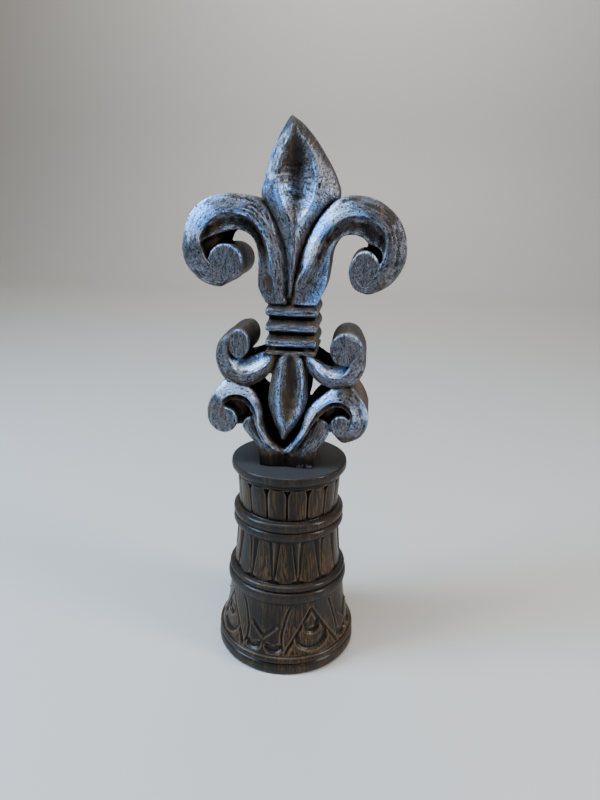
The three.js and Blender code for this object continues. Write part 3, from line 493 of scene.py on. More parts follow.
PETAL = {
    "full_scoop": 9,
    "left": [[-1.4, 99.9], [-3.2, 97.1], [-6.2, 91.5], [-8.4, 84.7], [-9.2, 79.2], [-6.8, 74], [-4.9, 68.9],
             [-3.2, 63.4], [-2, 57.4], [-1.3, 51]],
    "left_ridge": [[-0.8, 98.3], [-0.6, 95], [-2.5, 91.2], [-4.1, 85.8], [-4.2, 81.6], [-3, 77.2],
                   [-1.2, 73.6], [0.1, 68.2], [0, 61.5], [-0.8, 53]],
    "right_ridge": [[-0.3, 98.3], [1, 95], [4, 91.2], [5.9, 85.4], [5.9, 81.2], [4.4, 76.6], [2.1, 73],
                    [0.9, 68.2], [0.6, 61.5], [-0.3, 53]],
    "right": [[-1, 99.9], [2.8, 97.1], [7.1, 91.5], [10.5, 85.6], [12, 80.2], [9, 76.2], [5.6, 70.6],
              [2.8, 64.6], [0.9, 58.2], [-0.1, 51]],
    "leaf": [(0, (0.55, 0.05, 0, 0.05, 0.05)), (0.1, (0.8, 0.15, 0.02, 0.1, 0.3)),
             (0.2, (1, 0.15, -0.1, 0.45, 0.1)), (0.3, (1.2, 0.3, 0.15, 0.8, 0.1)),
             (0.38, (0.9, 0.75, 0.6, 0.8, 0.5)), (0.46, (0.4, 1.05, 0.9, 0.85, 0.75)),
             (0.54, (0.3, 1, 0.6, 1.05, 0.5)), (0.6, (0.25, 0.7, 0.3, 1.15, 0.2)),
             (0.65, (0.2, 0.5, 0.3, 1.15, 0)), (0.72, (0.25, 0.7, 0.7, 0.95, -0.05)),
             (0.82, (0.2, 0.6, 0.65, 0.6, 0)), (1, (-0.2, 0.3, 0.4, 0.3, -0.2))],
}

DROP_LEAF = {
    "full_scoop": 7,
    "left": [[-1.9, 36.2], [-3.9, 34.6], [-5.1, 31.7], [-5.8, 28.3], [-6.4, 24.9], [-6.7, 21.5],
             [-6.2, 18.1], [-4.7, 14.1], [-3.4, 11.4], [-2.4, 8.4]],
    "left_ridge": [[-1.2, 35.9], [-2.2, 34.4], [-2.7, 32.2], [-3.1, 28.9], [-3.4, 25.5], [-3.5, 22.2],
                   [-3.3, 18.8], [-2.6, 15.9], [-2, 13.8], [-2.2, 9.6]],
    "right_ridge": [[0.9, 36], [2.4, 34.5], [3.1, 32.2], [3.7, 28.9], [3.8, 25.5], [3.4, 22.2],
                    [2.8, 18.8], [1.4, 15.9], [-0.6, 13.8], [-1.8, 9.6]],
    "right": [[1.5, 36.3], [3.6, 35], [4.8, 31.7], [5.1, 28.3], [5.3, 24.9], [5.1, 21.5], [4.2, 18.1],
              [2.1, 13.9], [0.2, 11.1], [-1.6, 8.4]],
    "leaf": [(0, (0.1, 0.4, 0.2, 0.35, 0)), (0.12, (0.1, 0.75, -0.12, 0.75, -0.1)),
             (0.3, (0.1, 0.8, -0.15, 0.85, -0.15)), (0.6, (0.1, 0.85, -0.15, 0.75, 0.1)),
             (0.76, (0, 0.95, -0.25, 0.75, 0.25)), (0.86, (0, 0.9, 0.4, 0.7, 0.15)),
             (1, (0, 0.4, 0.3, 0.3, 0))],
}

LEFT_LOBE = {
    "outer": [[-9.1, 0], [-9.3, 3.1], [-10.3, 6.7], [-12, 8.8], [-13.7, 10.9], [-14.5, 12.6], [-13.9, 14.3],
              [-12.5, 15.5]],
    "inner": [[0, 0], [-1, 4.9], [-4.6, 6.6], [-7.2, 9.4], [-9.1, 11.5], [-10.1, 13.2], [-10.6, 14.7],
              [-11.2, 15.6]],
    "leaf": [(0, (-0.65, -0.6, -0.6)), (0.13, (-0.62, -0.5, -0.55)), (0.2, (-0.3, 0.35, 0.2)),
             (0.32, (0.3, 0.65, 0.7)), (0.5, (0.5, 0.35, 0.6)), (0.75, (0.8, 0.15, 0.45)),
             (1, (1, 0.6, 0.6))],
}

RIGHT_LOBE = {
    "outer": [[7.8, 0], [7.7, 3.1], [8.9, 6.4], [10.6, 8.9], [11.8, 10.9], [12.2, 13], [11.6, 14.8],
              [10, 15.9]],
    "inner": [[-1.6, 0], [-1.5, 4.9], [2.4, 6.6], [4.9, 9.8], [6.6, 12.4], [7.2, 14], [7.8, 15.4],
              [8.7, 16.1]],
    "leaf": [(0, (-0.6, -0.58, -0.6)), (0.12, (-0.5, -0.4, -0.55)), (0.17, (-0.2, 0.3, -0.3)),
             (0.2, (0, 0.4, -0.1)), (0.32, (0.35, 0.5, 0.2)), (0.5, (0.7, 0.2, 0.4)),
             (0.75, (0.95, 0.2, 0.3)), (1, (1.05, 0.55, 0.5))],
}

# Middle across and up, half width and half height
EYES = [(-19.1, 61.5, 5, 5.1), (20.1, 60, 4.4, 5.8), (-15.4, 38.2, 3.2, 4.5), (16.1, 37.8, 4.8, 4.9),
        (-20.2, 14.5, 4.2, 4.2), (15.5, 14.3, 3.2, 3.4)]

WAIST = {"half_width": 7.5, "top": 51.7, "first_groove": 50.4, "foot": 35.7, "foot_cut": 0.12,
         "rib_count": 3, "rib_pitch": 4.48}

# Lean towards the back, rise to the left in millimetres, leaf at the left and right edges (-1 is painted
# shade), outline
WEBS = [
    # The first web runs from lit brown at its left into painted shade at its right
    (-2.8, 6, (0.1, -1), [[-15.6, 70.9], [-17.3, 69.2], [-18.2, 66.8], [-18.2, 65], [-21, 62], [-25.5, 61],
                          [-27.5, 67]]),
    (0, 0, (-1, -0.4), [[20.6, 69.5], [25.5, 68], [26, 61.5], [24, 60], [20.6, 64]]),
    (0, 0, (-1, -1), [[-4, 36], [-5, 36], [-7.2, 30], [-6.9, 29.2], [-4.5, 29.2]]),
    (0, 0, (-1, -1), [[-6, 20.2], [-8.8, 22.1], [-13, 25.2], [-11, 19], [-9, 14], [-5.5, 7.5], [-2.2, 5],
                      [-1.8, 9]]),
    (0, 0, (-1, -1), [[2, 37], [3.6, 36.5], [7.6, 29.4], [6.8, 28.6], [4, 28.6]]),
    (0, 0, (-1, -1), [[3, 18.5], [6.2, 18.5], [4.6, 13], [1.5, 8], [-2, 5], [-1.8, 9], [0, 11.5]]),
    (0, 4, (0.05, -0.7), [[-13.5, 11.8], [-17.5, 11.8], [-18, 17.5], [-20.8, 18], [-19, 21.2], [-13.6, 21.4],
                          [-10.3, 16], [-10.3, 14]]),
    (0, 5, (0.1, -0.7), [[10.8, 11], [14.5, 11], [14.5, 16], [18.8, 17.5], [16.8, 20.6], [12.8, 21],
                         [7.8, 16.6], [9.5, 14]]),
]

# Across, up and radius in millimetres
GLUE_DROPS = [(9.9, 160, 1.1), (11.5, 160.7, 0.9), (15.8, 160.2, 1), (18, 159.9, 0.9)]

BANDS = (LEFT_ARM, RIGHT_ARM, LEFT_UPPER_VOLUTE, RIGHT_UPPER_VOLUTE, LEFT_LOWER_VOLUTE, RIGHT_LOWER_VOLUTE)


# Surfaces as arrays


def mesh_arrays(mesh):
    points = np.empty(len(mesh.vertices) * 3)
    normals = np.empty(len(mesh.vertices) * 3)
    edges = np.empty(len(mesh.edges) * 2, dtype=np.int64)
    mesh.vertices.foreach_get("co", points)
    mesh.vertices.foreach_get("normal", normals)
    mesh.edges.foreach_get("vertices", edges)
    return points.reshape(-1, 3), normals.reshape(-1, 3), edges.reshape(-1, 2)


def relief_of(points, normals, edges, rounds):
    """How far each point stands out of its smoothed surroundings, along its normal."""
    count = len(points)
    neighbours = np.bincount(edges.ravel(), minlength=count).clip(1)[:, None]
    smoothed = points.copy()
    for _ in range(rounds):
        sums = np.empty_like(points)
        for k in range(3):
            sums[:, k] = np.bincount(edges[:, 0], smoothed[edges[:, 1], k], minlength=count)
            sums[:, k] += np.bincount(edges[:, 1], smoothed[edges[:, 0], k], minlength=count)
        smoothed = sums / neighbours
    return ((points - smoothed) * normals).sum(axis=1)


def store(mesh, name, values):
    kind = "FLOAT_VECTOR" if values.ndim == 2 else "FLOAT"
    attribute = mesh.attributes.new(name, kind, "POINT")
    field = "vector" if values.ndim == 2 else "value"
    attribute.data.foreach_set(field, values.astype(np.float32).ravel())


def tree_of(points):
    tree = KDTree(len(points))
    for i, point in enumerate(points):
        tree.insert(point, i)
    tree.balance()
    return tree


def nearest(tree, points):
    found = [tree.find(point)[1:] for point in points]
    return np.array([f[0] for f in found]), np.array([f[1] for f in found])


def applied(piece):
    """Plain mesh of a piece with its modifiers applied."""
    graph = bpy.context.evaluated_depsgraph_get()
    mesh = bpy.data.meshes.new_from_object(piece.evaluated_get(graph))
    old = piece.data
    piece.modifiers.clear()
    piece.data = mesh
    bpy.data.meshes.remove(old)
    return mesh


def new_piece(name, corners, faces):
    mesh = bpy.data.meshes.new(name)
    mesh.from_pydata(corners, [], faces)
    piece = bpy.data.objects.new(name, mesh)
    bpy.context.scene.collection.objects.link(piece)
    return piece


def smooth_shaded(mesh):
    mesh.polygons.foreach_set("use_smooth", np.ones(len(mesh.polygons), dtype=bool))
    mesh.update()


def carved_form():
    """All bodies of the carved plank."""
    form = Carving()
    for band in BANDS:
        scroll_band(form, band)
    for eye in EYES:
        scroll_eye(form, *eye)
    scooped_leaf(form, PETAL, PETAL_BEVEL, PETAL_SCOOP)
    scooped_leaf(form, DROP_LEAF, LEAF_BEVEL, LEAF_SCOOP)
    for lobe in (LEFT_LOBE, RIGHT_LOBE):
        foot_lobe(form, lobe)
    for shape in WEBS:
        web(form, *shape)
    for x, z, radius in GLUE_DROPS:
        glue_drop(form, x * MM, z * MM, radius * MM)
    collar(form, WAIST)
    return form


def leaf_and_shade_off_the_front(points, normals):
    """Silver leaf on the side walls, the back and the pockets' floors, where no carving line reaches, with
    painted shade that blackens the pockets' floors and the pocket walls between the volutes.
    """
    depth = points[:, 1] - FRONT
    beside = np.abs(points[:, 0] - FOOT_SHIFT) / SHARE
    up = (points[:, 2] - fleur_low.z) / SHARE
    side_leaf_and_shade = 0.15 + 0.15 * smoothstep(12 * MM, 2 * MM, depth)
    # Pocket floors far behind the front, facing forward: painted shade
    painted_pocket_floor_shade = smoothstep(11 * MM, 13 * MM, depth) * smoothstep(-0.3, -0.7, normals[:, 1])
    side_leaf_and_shade = side_leaf_and_shade * (1 - painted_pocket_floor_shade) - 0.9 * painted_pocket_floor_shade
    side_leaf_and_shade = side_leaf_and_shade - 0.5 * smoothstep(166 * MM, 159 * MM, points[:, 2])
    on_collar = smoothstep(9, 8, beside) * smoothstep(35.5, 36.5, up)
    # Walls of the pockets between the volutes: painted shade
    painted_pocket_shade = smoothstep(15.5, 11.5, beside) * smoothstep(43, 39.5, up) * smoothstep(4, 6, up)
    painted_pocket_shade = painted_pocket_shade * (1 - on_collar)
    side_leaf_and_shade = side_leaf_and_shade - 0.85 * painted_pocket_shade * smoothstep(3 * MM, 6 * MM, depth)
    on_back = smoothstep(-4 * MM, -1 * MM, depth - (BACK - FRONT))
    return np.where(on_back > 0, 0.5 * on_back + side_leaf_and_shade * (1 - on_back), side_leaf_and_shade)


def carved_fleur():
    """The carved plank as one skin, with its leaf, its grain, its wear and its hollows as attributes; the
    leaf and the hollows also carry painted highlight and painted shade.
    """
    form = carved_form()
    piece = new_piece("carved_fleur", form.corners, form.faces)
    remesh = piece.modifiers.new("skin", "REMESH")
    remesh.mode = "VOXEL"
    remesh.voxel_size = VOXEL
    mesh = applied(piece)

    points, normals, _ = mesh_arrays(mesh)
    guide_points = np.concatenate(form.guides)
    marks = np.concatenate(form.marks)
    guide_tree = tree_of(guide_points)
    index, _ = nearest(guide_tree, points)
    along = marks[index, 0]
    front = smoothstep(0.3, -0.1, normals[:, 1])
    hand = np.array([noise.noise(Vector(p) * 70) for p in points])
    cuts = np.array([noise.noise(Vector((a * 260, p[0] * 60, p[2] * 60))) for a, p in zip(along, points)])
    points += normals * ((HAND_WAVE * hand + TOOL_MARK * cuts * front) * MM)[:, None]
    mesh.vertices.foreach_set("co", points.ravel())
    mesh.update()
    points, normals, edges = mesh_arrays(mesh)
    fine = relief_of(points, normals, edges, 6)
    broad = relief_of(points, normals, edges, 30)
    relief_tree = tree_of(points)

    decimate = piece.modifiers.new("budget", "DECIMATE")
    decimate.ratio = TRIANGLES / (2 * len(mesh.polygons))
    mesh = applied(piece)
    points, normals, _ = mesh_arrays(mesh)
    index, distance = nearest(guide_tree, points)
    near = smoothstep(GUIDED_FAR, GUIDED_NEAR, distance)
    leaf = marks[index, 2] * near + leaf_and_shade_off_the_front(points, normals) * (1 - near)
    flow = np.stack([marks[index, 0], marks[index, 1], np.zeros(len(index))], axis=1)
    upright = np.stack([points[:, 2], points[:, 0], points[:, 1]], axis=1)
    flow = flow * near[:, None] + upright * (1 - near)[:, None]
    closest, _ = nearest(relief_tree, points)
    store(mesh, "leaf", leaf)
    store(mesh, "flow", flow)
    store(mesh, "wear", np.clip(fine[closest] / WEAR_RELIEF, -1, 1))
    # Hollows: where black glazing and painted shade go
    store(mesh, "hollow", np.clip(-broad[closest] / HOLLOW_RELIEF - 0.12, 0, 1))
    smooth_shaded(mesh)
    return piece


# Pedestal, in millimetres up from its underside. A drum is its low and high ends and its radius at each.

FOOT_RADIUS = 52.7
PLINTH_RADIUS = 55.7
PLINTH_HEIGHT = 9.2
LOWER_DRUM = (14.8, 56.5, 53.3, 45.9)
LOWER_DRUM_FLARE = 2.2
MIDDLE_DRUM = (71.5, 106.3, 42.4, 38.9)
UPPER_DRUM = (122.3, 147.5, 38.3, 39.8)
DISC_RADIUS = 44.5
DISC_UNDERSIDE = 151.5
PEDESTAL_HEIGHT = 159
DRUM_REACH = 54
MM_PER_DEGREE = math.radians(48.5)
COLUMNS = 480
FRONT_TURN = -84
TONGUES = 16
TONGUE_EDGE = -1
TONGUE_GROOVE = 2.6
DARTS = 14
DART_MIDDLE = 12
DART_FOOT = 2.6
DART_RISE = 1.3
DART_GROOVE = 1.1
LEAVES = 4
LEAF_MIDDLE = -19.5
LEAF_EDGE = [(25, 56), (21, 48), (18.5, 40), (16.5, 33), (16, 27), (17, 20)]
LEAF_NOTCH = [(-12, 36), (-5, 30.5), (0, 26.8), (5, 30.5), (12, 36)]
ARCH_LEG = [(25, 17.5), (23, 21), (9, 39.5), (0, 51.5)]
STAINED_RINGS = ((106, 122), (56, 72), (148.5, 160))
TURNED_WAVE = 0.22


def bead(root_low, crest, root_high, low, high, rows):
    """Half-round moulding between two heights."""
    swing = np.linspace(0, math.pi, rows + 1)
    root = np.interp(swing, [0, math.pi], [root_low, root_high])
    radius = root + (crest - root) * np.sin(swing) ** 0.8
    height = (low + high) / 2 - (high - low) / 2 * np.cos(swing)
    return list(zip(radius, height))


def lower_drum_radius(height):
    low, high, foot, top = LOWER_DRUM
    rise = np.clip((height - low) / (high - low), 0, 1)
    return top + (foot - top) * (1 - rise) ** LOWER_DRUM_FLARE


def straight_drum(drum, rows, hollow=0):
    low, high, foot, top = drum
    rise = np.linspace(0, 1, rows + 1)
    radius = foot + (top - foot) * rise - hollow * np.sin(math.pi * rise)
    return list(zip(radius, low + (high - low) * rise))


def pedestal_profile():
    swing = np.linspace(0, math.pi / 2, 6)
    rounding = PLINTH_RADIUS - FOOT_RADIUS
    foot = list(zip(FOOT_RADIUS + rounding * np.sin(swing), rounding * (1 - np.cos(swing))))
    shoulder = [(55.6, 5), (55.4, 6.6), (54.9, 7.9), (54.1, 8.8)]
    low, high = LOWER_DRUM[:2]
    drum_heights = np.linspace(low, high, 53)[1:-1]
    lower = list(zip(lower_drum_radius(drum_heights), drum_heights))
    cove = [(39.5, 148.2), (39.6, 149), (40.1, 149.9), (41, 150.8), (42.2, DISC_UNDERSIDE)]
    rim = [(43.5, 152.4), (44.2, 153.6), (DISC_RADIUS, 155), (DISC_RADIUS, 156.4), (44.2, 157.2),
           (44.25, 157.7), (43.9, 158.5), (43, PEDESTAL_HEIGHT)]
    top = [(42, PEDESTAL_HEIGHT), (30, PEDESTAL_HEIGHT), (12, PEDESTAL_HEIGHT)]
    return np.array(
        foot
        + shoulder
        + bead(52.9, 55.3, 52.6, PLINTH_HEIGHT, LOWER_DRUM[0], 12)
        + lower
        + bead(45.6, 47.7, 43.9, LOWER_DRUM[1], 65.8, 12)
        + bead(43.9, 46.4, 41.3, 65.9, 71.5, 11)
        + straight_drum(MIDDLE_DRUM, 28, 0.5)
        + bead(39, 43.3, 40.8, 106.4, 113.9, 12)
        + bead(40.8, 43.2, 38.2, 114, 122, 12)
        + straight_drum(UPPER_DRUM, 27)
        + cove
        + rim
        + top
    )


def across_repeat(offset, first, count, wander):
    """Place across a repeat, -1 to 1, and the number of the repeat; the edges wander as hand work does."""
    width = 360 / count
    turns = (offset - first) / width
    number = np.floor(turns)
    jitter = np.random.default_rng(SEED).uniform(-wander, wander, count + 1)
    jitter[count] = jitter[0]
    wrapped = np.mod(number, count).astype(int)
    start = number + jitter[wrapped]
    end = number + 1 + jitter[wrapped + 1]
    place = (turns - start) / (end - start)
    return np.clip(2 * place - 1, -1.2, 1.2)


def tongues(offset, height):
    """Round-faced tongues with sunk grooves that open out into spandrels above them; grooves and spandrels
    are blackened as painted shade through the hollow attribute.
    """
    low, high = UPPER_DRUM[:2]
    across = across_repeat(offset, TONGUE_EDGE, TONGUES, 0.035)
    rise = (height - low) / (high - low)
    half_width = 0.9 * np.sqrt(1 - ((rise - 0.68).clip(0) / 0.4) ** 2.4)
    beside = np.abs(across)
    face = 0.7 * (1 - (beside / half_width).clip(0, 1) ** 2.4)
    cut = TONGUE_GROOVE * smoothstep(half_width, half_width + 0.1, beside)
    arris = 0.5 * np.exp(-(((beside - half_width + 0.05) / 0.05) ** 2)) * smoothstep(0.6, 0.85, rise)
    return face + arris - 0.5 - cut


def darts(offset, height):
    """Hanging darts with a sharp arris, and flat panels between them, rounded at the bottom."""
    low, high = MIDDLE_DRUM[:2]
    across = across_repeat(offset, DART_MIDDLE - 180 / DARTS, DARTS, 0.03)
    above_point = height - (low + DART_FOOT)
    half_width = 0.42 * (above_point / (high - low - DART_FOOT)).clip(0, 1) ** 0.9
    beside = np.abs(across)
    ratio = beside / np.maximum(half_width, 1e-3)
    prism = DART_RISE - (DART_RISE + DART_GROOVE) * ratio.clip(0, 1)
    panel = -DART_GROOVE * np.exp(-(((beside - half_width).clip(0) / 0.09) ** 2))
    panel = panel + 0.25 * (beside - 0.5).clip(0)
    panel_foot = low + 0.6 + 3.5 * (1 - np.sqrt(1 - (1 - beside).clip(0, 1) ** 2))
    ground = smoothstep(panel_foot + 0.4, panel_foot - 0.4, height)
    panel = panel * (1 - ground) - DART_GROOVE * ground
    return np.where(ratio < 1, prism, panel)


def distance_to(path, x, y):
    """Distance from each place to a line through a few points, signed by its side: left is positive."""
    best = np.full(x.shape, 1e9)
    signed = np.full(x.shape, 1e9)
    for (ax, ay), (bx, by) in zip(path, path[1:]):
        length = math.hypot(bx - ax, by - ay)
        ux, uy = (bx - ax) / length, (by - ay) / length
        along = ((x - ax) * ux + (y - ay) * uy).clip(0, length)
        dx, dy = x - ax - along * ux, y - ay - along * uy
        distance = np.hypot(dx, dy)
        side = np.where(ux * dy - uy * dx >= 0, 1, -1)
        closer = distance < best
        best = np.where(closer, distance, best)
        signed = np.where(closer, distance * side, signed)
    return signed


def line_in_mm(line):
    """Line on the lower drum from rows of [degrees round, height]."""
    return [(degrees * MM_PER_DEGREE, height) for degrees, height in line]


def scale_line(middle, half_width, height, bottom):
    """Lower edge of a fish scale, from its left end through the bottom to its right end."""
    turn = np.linspace(0, math.pi, 13)
    return list(zip(middle - half_width * np.cos(turn), height - (height - bottom) * np.sin(turn) ** 0.8))


def scoop(signed, depth, width, lip):
    """Hollow on the left of a line, steep there and running out over a width, with a lip beside it."""
    hollow = -depth * (1 - (signed / width).clip(0, 1)) ** 1.2 * smoothstep(-0.3, 1.5, signed)
    return hollow + lip * np.exp(-(((signed + 0.7) / 0.5) ** 2))


def vein(signed, depth, inner_width, outer_width):
    """V groove with a gentle slope on one side and a steep one on the other."""
    width = np.where(signed > 0, inner_width, outer_width)
    return -depth * (1 - (np.abs(signed) / width).clip(0, 1))


def leaves_and_arches(offset, height):
    """Hanging leaves with a notched tip, and pointed arches between them with two nested scales each."""
    repeat = 360 / LEAVES
    turned = np.mod(offset - LEAF_MIDDLE + repeat / 2, repeat) - repeat / 2
    x = turned * MM_PER_DEGREE
    arch_x = (np.mod(turned, repeat) - repeat / 2) * MM_PER_DEGREE
    carved = np.zeros(x.shape)
    carved += vein(distance_to(line_in_mm(LEAF_EDGE), np.abs(x), height), 1.6, 1.6, 0.8)
    above_notch = distance_to(line_in_mm(LEAF_NOTCH), x, height)
    inside = smoothstep(13.5, 11.5, np.abs(turned))
    carved += scoop(above_notch, 1.5, 4.5, 0.5) * inside
    ball = np.hypot(np.abs(x) - 12.2 * MM_PER_DEGREE, height - 36.6)
    carved += 1.3 * np.sqrt((1 - (ball / 1.7) ** 2).clip(0))
    lobe_edge = scale_line(9.3 * MM_PER_DEGREE, 7.6 * MM_PER_DEGREE, 22, 16.6)
    lobe = scoop(distance_to(lobe_edge, np.abs(x), height), 2.3, 6.5, 0.4)
    carved += lobe * smoothstep(24, 21.5, height) * smoothstep(18, 16.8, np.abs(turned))
    in_arch = distance_to(line_in_mm(ARCH_LEG), np.abs(arch_x), height)
    carved += vein(in_arch, 1.7, 2.4, 0.7)
    under_arch = smoothstep(-0.2, 1.4, in_arch)
    inner = distance_to(scale_line(0, 8 * MM_PER_DEGREE, 36.5, 30), arch_x, height)
    outer = distance_to(scale_line(0, 17 * MM_PER_DEGREE, 29.5, 17.6), arch_x, height)
    above_inner = (np.abs(arch_x) < 8.6 * MM_PER_DEGREE) & (height > 29)
    carved += np.where(above_inner, scoop(inner, 2.3, 6, 0.6), scoop(outer, 2.5, 7, 0.6)) * under_arch
    fade = smoothstep(LOWER_DRUM[0], LOWER_DRUM[0] + 1.5, height) * smoothstep(
        LOWER_DRUM[1] - 0.5, LOWER_DRUM[1] - 5, height
    )
    return carved * fade


def carved_pedestal():
    """The turned and carved drum as one skin, with its wear, its hollows (with painted shade in the tongue
    grooves) and its stain as attributes.
    """
    profile = pedestal_profile()
    rows = len(profile)
    radius = np.repeat(profile[:, :1], COLUMNS, axis=1)
    height = np.repeat(profile[:, 1:], COLUMNS, axis=1)
    offset = np.arange(COLUMNS) * 360 / COLUMNS - 180
    offset = np.repeat(offset[None, :], rows, axis=0)
    cut = np.zeros(radius.shape)
    for drum, carve in ((LOWER_DRUM, leaves_and_arches), (MIDDLE_DRUM, darts), (UPPER_DRUM, tongues)):
        on_drum = (height > drum[0] + 0.01) & (height < drum[1] - 0.01) & (radius < DRUM_REACH)
        cut = np.where(on_drum, carve(offset, height), cut)
    angle = np.radians(offset + FRONT_TURN)
    radius = radius + cut
    grid = np.stack([radius * np.cos(angle), radius * np.sin(angle), height], axis=-1) * MM
    corners = grid.reshape(-1, 3).tolist()
    faces = []
    for i in range(rows - 1):
        for j in range(COLUMNS):
            k = (j + 1) % COLUMNS
            faces.append((i * COLUMNS + j, i * COLUMNS + k, (i + 1) * COLUMNS + k, (i + 1) * COLUMNS + j))
    middle_low, middle_high = len(corners), len(corners) + 1
    corners += [(0, 0, 0), (0, 0, PEDESTAL_HEIGHT * MM)]
    top = (rows - 1) * COLUMNS
    for j in range(COLUMNS):
        k = (j + 1) % COLUMNS
        faces.append((middle_low, k, j))
        faces.append((middle_high, top + j, top + k))
    piece = new_piece("carved_pedestal", corners, faces)
    mesh = piece.data
    smooth_shaded(mesh)
    points, normals, _ = mesh_arrays(mesh)
    hand = np.array([noise.noise(Vector(p) * 60) for p in points])
    inside = (points[:, 2] > 1 * MM) & (points[:, 2] < (PEDESTAL_HEIGHT - 0.5) * MM)
    points += normals * (TURNED_WAVE * hand * inside * MM)[:, None]
    mesh.vertices.foreach_set("co", points.ravel())
    mesh.update()
    points, normals, edges = mesh_arrays(mesh)
    fine = relief_of(points, normals, edges, 5)
    broad = relief_of(points, normals, edges, 30)
    z = points[:, 2] / MM
    stain = np.zeros(len(points))
    for low, high in STAINED_RINGS:
        stain = np.maximum(stain, smoothstep(low - 0.5, low + 1, z) * smoothstep(high + 0.5, high - 1, z))
    stain = np.maximum(stain, 0.45 * smoothstep(15, 13.5, z))
    stain = np.maximum(stain, 1.6 * smoothstep(157.8, 159, z))
    groove = np.concatenate([cut.ravel(), [0, 0]])
    store(mesh, "wear", np.clip(fine / (0.16 * MM), -1, 1))
    # Tongue grooves and spandrels on the upper drum: painted shade, added to the hollows
    painted_groove_shade = smoothstep(-0.9, -2.4, groove) * smoothstep(UPPER_DRUM[0] - 1, UPPER_DRUM[0], z)
    shallow = 1 - 0.6 * smoothstep(LOWER_DRUM[1], LOWER_DRUM[1] - 3, z)
    store(mesh, "hollow", np.clip(-broad / (0.8 * MM) - 0.08, 0, 1) * shallow + painted_groove_shade)
    store(mesh, "stain", stain)
    return piece


# Materials. Where a colour has two values, it goes from the first to the second.

SILVER_BLACK = (0.007, 0.006, 0.006)
SILVER_BROWNS = ((0.016, 0.01, 0.007), (0.125, 0.071, 0.028))
STEEL_GREYS = ((0.026, 0.027, 0.032), (0.225, 0.235, 0.28))
# Vivid blues on the fullest leaf: a painted reflection of the cool window light
WINDOW_REFLECTION_BLUES = ((0.22, 0.48, 1.0), (0.66, 0.76, 0.94))
PIT_GREY = (0.02, 0.021, 0.026)
PEDESTAL_BLACK = (0.006, 0.005, 0.004)
PEDESTAL_BROWNS = ((0.008, 0.005, 0.0035), (0.105, 0.055, 0.017))
PORE_BROWN = (0.012, 0.008, 0.006)
STAIN_BLACK = (0.022, 0.019, 0.018)
# Paler blue-grey of the disc top: its own dark grey with a painted sheen
DISC_TOP_SHEEN_GREY = (0.034, 0.036, 0.039)
WORN_BROWN = (0.15, 0.1, 0.06)


def add(tree, kind, **values):
    node = tree.nodes.new(kind)
    for name, value in values.items():
        if name in node.inputs:
            node.inputs[name].default_value = value
        else:
            setattr(node, name, value)
    return node


def math_node(tree, operation, a, b, clamp=False):
    node = add(tree, "ShaderNodeMath", operation=operation, use_clamp=clamp)
    for socket, value in zip(node.inputs, (a, b)):
        if isinstance(value, (int, float)):
            socket.default_value = value
        else:
            tree.links.new(value, socket)
    return node.outputs[0]


def ramp(tree, value, low, high):
    node = add(tree, "ShaderNodeMapRange", interpolation_type="SMOOTHSTEP")
    tree.links.new(value, node.inputs["Value"])
    node.inputs["From Min"].default_value = low
    node.inputs["From Max"].default_value = high
    return node.outputs[0]


def product(tree, a, b):
    return math_node(tree, "MULTIPLY", a, b)


def total(tree, *values):
    whole = values[0]
    for value in values[1:]:
        whole = math_node(tree, "ADD", whole, value)
    return whole


def mix_colour(tree, factor, a, b):
    node = add(tree, "ShaderNodeMix", data_type="RGBA")
    for socket, value in zip((node.inputs[0], node.inputs[6], node.inputs[7]), (factor, a, b)):
        if isinstance(value, tuple):
            socket.default_value = (*value, 1)
        else:
            tree.links.new(value, socket)
    return node.outputs[2]


def attribute(tree, name, output="Fac"):
    return add(tree, "ShaderNodeAttribute", attribute_name=name).outputs[output]


def noise_of(tree, vector, scale, detail, roughness, distortion=0):
    node = add(tree, "ShaderNodeTexNoise", Scale=scale, Detail=detail, Roughness=roughness)
    node.inputs["Distortion"].default_value = distortion
    tree.links.new(vector, node.inputs["Vector"])
    return node.outputs[0]


def stretched(tree, vector, scale):
    node = add(tree, "ShaderNodeMapping", Scale=scale)
    tree.links.new(vector, node.inputs["Vector"])
    return node.outputs[0]


def object_places(tree):
    return add(tree, "ShaderNodeTexCoord").outputs["Object"]


def group_of(name, inputs, outputs):
    tree = bpy.data.node_groups.new(name, "ShaderNodeTree")
    for socket, kind in inputs:
        tree.interface.new_socket(socket, in_out="INPUT", socket_type=kind)
    for socket, kind in outputs:
        tree.interface.new_socket(socket, in_out="OUTPUT", socket_type=kind)
    return tree, tree.nodes.new("NodeGroupInput"), tree.nodes.new("NodeGroupOutput")


def wood_grain_group():
    """Upright grain: fine pores and broader figure, as two values."""
    tree, entry, out = group_of(
        "wood_grain",
        [("Vector", "NodeSocketVector")],
        [("Figure", "NodeSocketFloat"), ("Pores", "NodeSocketFloat")],
    )
    places = entry.outputs["Vector"]
    figure = noise_of(tree, stretched(tree, places, (1, 0.35, 0.13)), 130, 4, 0.6, 0.25)
    pores = noise_of(tree, stretched(tree, places, (1, 1, 0.035)), 900, 2, 0.6)
    tree.links.new(figure, out.inputs["Figure"])
    tree.links.new(pores, out.inputs["Pores"])
    return tree


